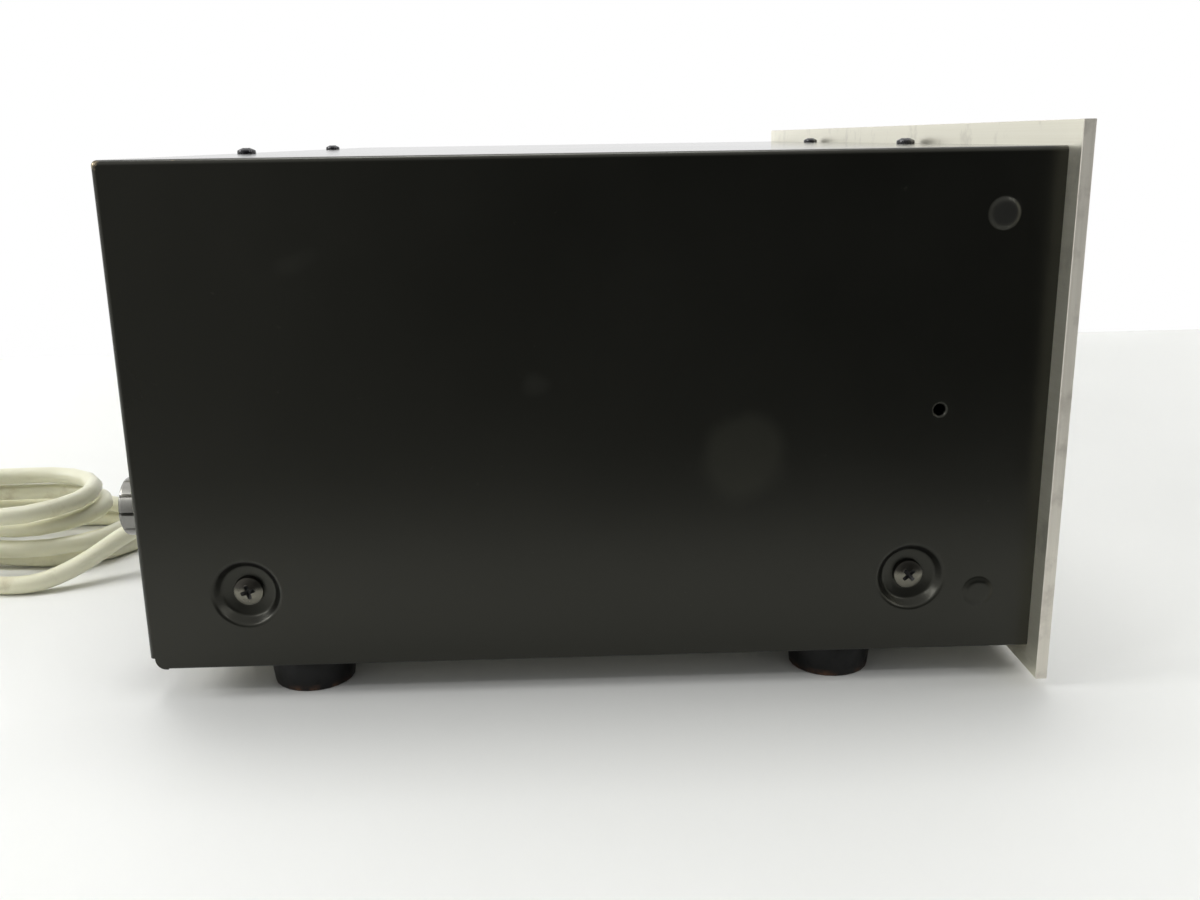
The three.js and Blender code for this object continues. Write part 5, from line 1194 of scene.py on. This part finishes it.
# Knobs: turned from bar aluminium, a knurled grip behind a spun cap that is slightly dished, with broken
# edges. The selector's cap carries a filled line that points at the panel's dots.
turned_rings, given, result = make_group(
    "turned_rings", {"Axis": (0, 0, 0), "Fineness": 5000.0}, "Rings", "Painted_gleam",
)
place = add(turned_rings, "NewGeometry")
apart = vector_calc(turned_rings, "SUBTRACT", place, given.outputs["Axis"])
flat = vector_calc(turned_rings, "MULTIPLY", apart, (1, 0, 1))
away = vector_calc(turned_rings, "LENGTH", flat)
stepped = calc(turned_rings, "MULTIPLY", away.outputs["Value"], given.outputs["Fineness"])
cut_lines = add(turned_rings, "TexNoise", {"Scale": 1, "Detail": 3, "W": stepped}, noise_dimensions="1D")
feed(result, {"Rings": cut_lines})
parts = add(turned_rings, "SeparateXYZ", {0: flat})
# Painted highlight: two bright and two dark fans round the axis, fixed in place, stand in for the gleam of
# turned metal.
bearing = calc(turned_rings, "ARCTAN2", parts.outputs["X"], parts.outputs["Z"])
doubled = calc(turned_rings, "MULTIPLY_ADD", bearing, 2, 0.9)
lobes = calc(turned_rings, "COSINE", doubled)
feed(result, {"Painted_gleam": lobes})


def turned_metal(name, node, pale, deep):
    """Aluminium turned on a lathe, its colour painted lighter and darker in two fans about the node's axis:
    a painted highlight.
    """
    across, _, up = middle_of(node)
    material, tree, surface = new_material(name)
    rings = use_group(tree, turned_rings, Axis=(across, 0, up), Fineness=5200.0)
    painted_highlight = spread_between(tree, rings.outputs["Painted_gleam"], 0, 1, -0.4, 1)
    silver = blend_colours(tree, painted_highlight, deep, pale)
    feed(surface, {
        "Base Color": silver, "Metallic": 1.0,
        "Roughness": spread_between(tree, rings, 0.2, 0.36),
    })
    bump(tree, surface, rings, 0.000006, 0.3)
    return material


def knob(name, node, profile, flutes, flute_depth, material, steps=4, cut_steps=(1, 2)):
    """A round knob on an axis along the case: a profile of (radius, place, share of the flutes' depth)."""
    across, _, up = middle_of(node)
    sides = flutes * steps
    bm = bmesh.new()
    rings = []
    for radius, y, cut in profile:
        if not radius:
            rings.append([bm.verts.new((across, y, up))])
            continue
        ring = []
        for k in range(sides):
            a = tau * k / sides
            r = radius - (flute_depth * cut if k % steps in cut_steps else 0)
            ring.append(bm.verts.new((across + r * cos(a), y, up + r * sin(a))))
        rings.append(ring)
    skin(bm, rings)
    piece = link_mesh(name, bm, material, 28)
    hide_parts(node)
    return piece, across, up


low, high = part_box("tuning_knob")
front, back, radius = low.y, high.y, (high.x - low.x) / 2
tuning_silver = turned_metal("tuning_silver", "tuning_knob", (0.80, 0.795, 0.78), (0.30, 0.298, 0.29))
dish = radius * 0.80
tuning_profile = [
    (0, front + 0.0012, 0), (dish * 0.5, front + 0.0011, 0), (dish * 0.97, front + 0.0008, 0),
    (dish, front + 0.0003, 0), (dish + 0.0004, front, 0), (radius * 0.90, front, 0),
    (radius * 0.925, front + 0.0003, 0), (radius * 0.93, front + 0.0026, 0),
    (radius * 0.93, front + 0.0028, 0), (radius * 0.945, front + 0.0030, 1),
    (radius * 0.95, front + 0.0034, 1), (radius * 0.95, back - 0.0028, 1),
    (radius * 0.945, back - 0.0024, 1), (radius * 0.97, back - 0.0022, 0), (radius, back - 0.0018, 0),
    (radius, back - 0.0004, 0), (radius - 0.0004, back, 0), (0.0034, back, 0), (0.0034, back - 0.011, 0),
    (0, back - 0.011, 0),
]
piece, across, up = knob("tuning_knob_turned", "tuning_knob", tuning_profile, 90, 0.0006, tuning_silver)
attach(piece, "tuning_control")

low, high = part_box("selector_knob")
front, radius = low.y, (high.x - low.x) / 2
back = panel_low.y - 0.0006
selector_silver = turned_metal("selector_silver", "selector_knob", (0.80, 0.795, 0.78), (0.30, 0.298, 0.29))
dish = radius * 0.76
selector_profile = [
    (0, front + 0.0009, 0), (dish * 0.5, front + 0.0008, 0), (dish * 0.97, front + 0.0006, 0),
    (dish, front + 0.0002, 0), (dish + 0.0003, front, 0), (radius * 0.88, front, 0),
    (radius * 0.91, front + 0.0003, 0), (radius * 0.92, front + 0.0020, 0),
    (radius * 0.92, front + 0.0022, 0), (radius * 0.94, front + 0.0024, 1),
    (radius * 0.945, front + 0.0028, 1), (radius * 0.945, back - 0.0024, 1),
    (radius * 0.94, back - 0.0020, 1), (radius * 0.97, back - 0.0018, 0), (radius, back - 0.0014, 0),
    (radius, back - 0.0003, 0), (radius - 0.0003, back, 0), (0.003, back, 0), (0.003, high.y, 0),
    (0, high.y, 0),
]
piece, across, up = knob(
    "selector_knob_turned", "selector_knob", selector_profile, 54, 0.0005, selector_silver,
)
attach(piece, "selector")
bm = bmesh.new()
brick(
    bm, (across - 0.0005, front - 0.00002, up + radius * 0.35),
    (across + 0.0005, front + 0.0011, up + radius * 0.86),
)
line = link_mesh("selector_line", bm, meter_ink, 30)
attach(line, "selector")

# Panel dots: shallow drilled pits filled with black ink, one for each place of the selector.
bm = bmesh.new()
for k in range(5):
    a = radians(-60 + 30 * k)
    middle = (across + (radius + 0.0042) * sin(a), up + (radius + 0.0042) * cos(a))
    ring = [bm.verts.new((x, panel_low.y - 0.00004, z)) for x, z in circle_points(middle, 0.0007, 20)]
    bm.faces.new(ring)
dots = link_mesh("selector_dots", bm, meter_ink, 30)
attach(dots, "case")


# Rear fittings: the output level knob is a small turned one with a few deep grooves. The jacks are
# nickelled shells on a board of pressed paper, and the aerial screws sit on nickelled clamp plates.
low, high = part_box("output_level_knob")
level_silver = turned_metal("level_silver", "output_level_knob", (0.34, 0.335, 0.31), (0.20, 0.198, 0.185))
radius = (high.x - low.x) / 2
rear_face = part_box("rear_panel")[1].y
cap = high.y - 0.0022
level_profile = [
    (0, low.y + 0.0002, 0), (0.0026, low.y + 0.0002, 0), (0.0026, rear_face + 0.0006, 0),
    (radius - 0.0005, rear_face + 0.0006, 1), (radius, rear_face + 0.0010, 1), (radius, cap - 0.0011, 1),
    (radius - 0.0003, cap - 0.0004, 1), (radius - 0.0009, cap, 1), (radius - 0.0013, cap, 0),
    (radius - 0.0016, cap - 0.0004, 0), (0, cap - 0.0005, 0),
]
piece, across, up = knob(
    "output_level_knob_turned", "output_level_knob", level_profile, 10, 0.0010, level_silver, 10, (0,),
)
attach(piece, "output_level")

low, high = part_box("output_jacks")
pressed_paper = coloured("pressed_paper", (0.016, 0.014, 0.012), (0.035, 0.030, 0.024), 0.5)
signal_red = coloured("signal_red", (0.42, 0.02, 0.015), (0.34, 0.02, 0.015), 0.35)
board_face = low.y + 0.0016
middle_across, _, middle_up = middle_of("output_jacks")
bm = bmesh.new()
board_outline = round_rectangle((middle_across, middle_up), (high.x - low.x, high.z - low.z), 0.002)
plate(bm, board_outline, [], low.y, board_face, 0.0001)
board = link_mesh("jack_board", bm, pressed_paper, 30)
shells, cores = bmesh.new(), {"ivory": bmesh.new(), "red": bmesh.new()}
shell_profile = [
    (0.0016, 0), (0.0066, 0), (0.0066, 0.0005), (0.0063, 0.0007), (0.0046, 0.0007), (0.00425, 0.0011),
    (0.00415, 0.0016), (0.00415, high.y - board_face - 0.0003), (0.0040, high.y - board_face),
    (0.0037, high.y - board_face), (0.00355, high.y - board_face - 0.0003), (0.00355, 0.0024),
]
core_profile = [
    (0.00355, 0.0025), (0.0034, 0.0040), (0.0021, 0.0042), (0.0019, 0.0044), (0.0016, 0.0042),
    (0.0015, 0.0012),
]
for k in range(4):
    place = (middle_across + (k - 1.5) * 0.018, board_face, middle_up)
    lathe(shells, shell_profile, place, (0, 1, 0), 40)
    lathe(cores["ivory" if k % 2 else "red"], core_profile, place, (0, 1, 0), 40)
for out in (-1, 1):
    place = (middle_across + out * 0.0335, board_face, middle_up + 0.0135 * out)
    lathe(
        shells, [(0, 0.0009), (0.0009, 0.0008), (0.0016, 0.0005), (0.0019, 0.0001), (0.0019, 0)], place,
        (0, 1, 0), 24,
    )
jack_shells = link_mesh("jack_shells", shells, bright_nickel, 35)
for piece, slot in (
    (board, "black_plastic"), (jack_shells, "bright_steel"),
    (link_mesh("jack_cores_ivory", cores["ivory"], ivory, 35), "white_plastic"),
    (link_mesh("jack_cores_red", cores["red"], signal_red, 35), "pointer_red"),
):
    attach(piece, "case")
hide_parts("output_jacks")

low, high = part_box("antenna_terminals")
black_moulding = coloured("black_moulding", (0.012, 0.012, 0.013), (0.03, 0.03, 0.03), 0.28)
strip_face = low.y + 0.0034
terminal_size = (3.4, 2.3, 1.5, 3.6)
middle_across, _, row = middle_of("antenna_terminals")
bm = bmesh.new()
plate(
    bm, round_rectangle((middle_across, row), (high.x - low.x, high.z - low.z), 0.0012), [],
    low.y, strip_face, 0.0002,
)
for k in range(4):
    across = middle_across + (k - 1.5) * 0.016
    plate(
        bm, round_rectangle((across, row), (0.0018, high.z - low.z - 0.0004), 0.0006), [],
        strip_face - 0.0004, high.y, 0.0003,
    )
strip = link_mesh("terminal_strip", bm, black_moulding, 30)
bm = bmesh.new()
for k in range(5):
    across = middle_across + (k - 2) * 0.016
    clamp = round_rectangle((across, row), (0.0096, 0.0105), 0.001)
    plate(bm, clamp, [], strip_face + 0.00005, strip_face + 0.0009, 0.00015)
    terminal_screw = pan_screw(
        f"terminal_screw_{k}", (across, strip_face + 0.00092, row), (0, 1, 0), terminal_size,
        0.4 + 0.9 * k, bright_nickel,
    )
clamps = link_mesh("terminal_clamps", bm, bright_nickel, 30)
for piece, slot in ((strip, "black_plastic"), (clamps, "bright_steel")):
    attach(piece, "case")
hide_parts("antenna_terminals")
dress("aerial_rod", black_moulding, 0.0001)


# The remaining plated, moulded and wound pieces.
zinc_plate, tree, surface = new_material("zinc_plate")
bloom = use_group(tree, brushing, Along=(60, 700, 700), Contrast=1.0)
feed(surface, {
    "Base Color": blend_colours(tree, bloom.outputs["Patches"], (0.42, 0.41, 0.36), (0.62, 0.60, 0.54)),
    "Metallic": 0.9, "Roughness": spread_between(tree, bloom, 0.32, 0.5),
})
bump(tree, surface, bloom, 0.00003, 0.4)
for node in (
    "chassis_tray", "front_subpanel", "pointer_rail", "gang_frame", "selector_switch", "tuner_shield_can",
    "output_level_pot", "aerial_bracket",
):
    dress(node, zinc_plate)
for node in ("gang_rotor", "tuning_shaft", "power_lever", "muting_lever", "mode_lever"):
    dress(node, bright_nickel)
for node in ("dial_lamp_housing", "dial_drum", "guide_pulley_left", "guide_pulley_right"):
    dress(node, ivory)
yellow_brass = coloured("yellow_brass", (0.52, 0.36, 0.14), (0.38, 0.26, 0.10), 0.3, 1.0)
for node in ("tuning_bush", "tuning_flywheel"):
    dress(node, yellow_brass)
for node in ("power_switch", "lever_switches"):
    dress(node, black_moulding, 0.0001)
iron = coloured("varnished_iron", (0.06, 0.055, 0.05), (0.10, 0.09, 0.08), 0.4, 0.6)
dress("transformer_core", iron)
tape = coloured("winding_tape", (0.55, 0.38, 0.10), (0.42, 0.30, 0.10), 0.5)
dress("transformer_coil", tape)
paper_board = coloured("paper_board", (0.25, 0.14, 0.05), (0.32, 0.19, 0.07), 0.45)
dress("main_board", paper_board)
thread = coloured("drive_thread", (0.55, 0.48, 0.34), (0.40, 0.34, 0.22), 0.7, 0.0, 900.0)
dress("dial_string", thread)
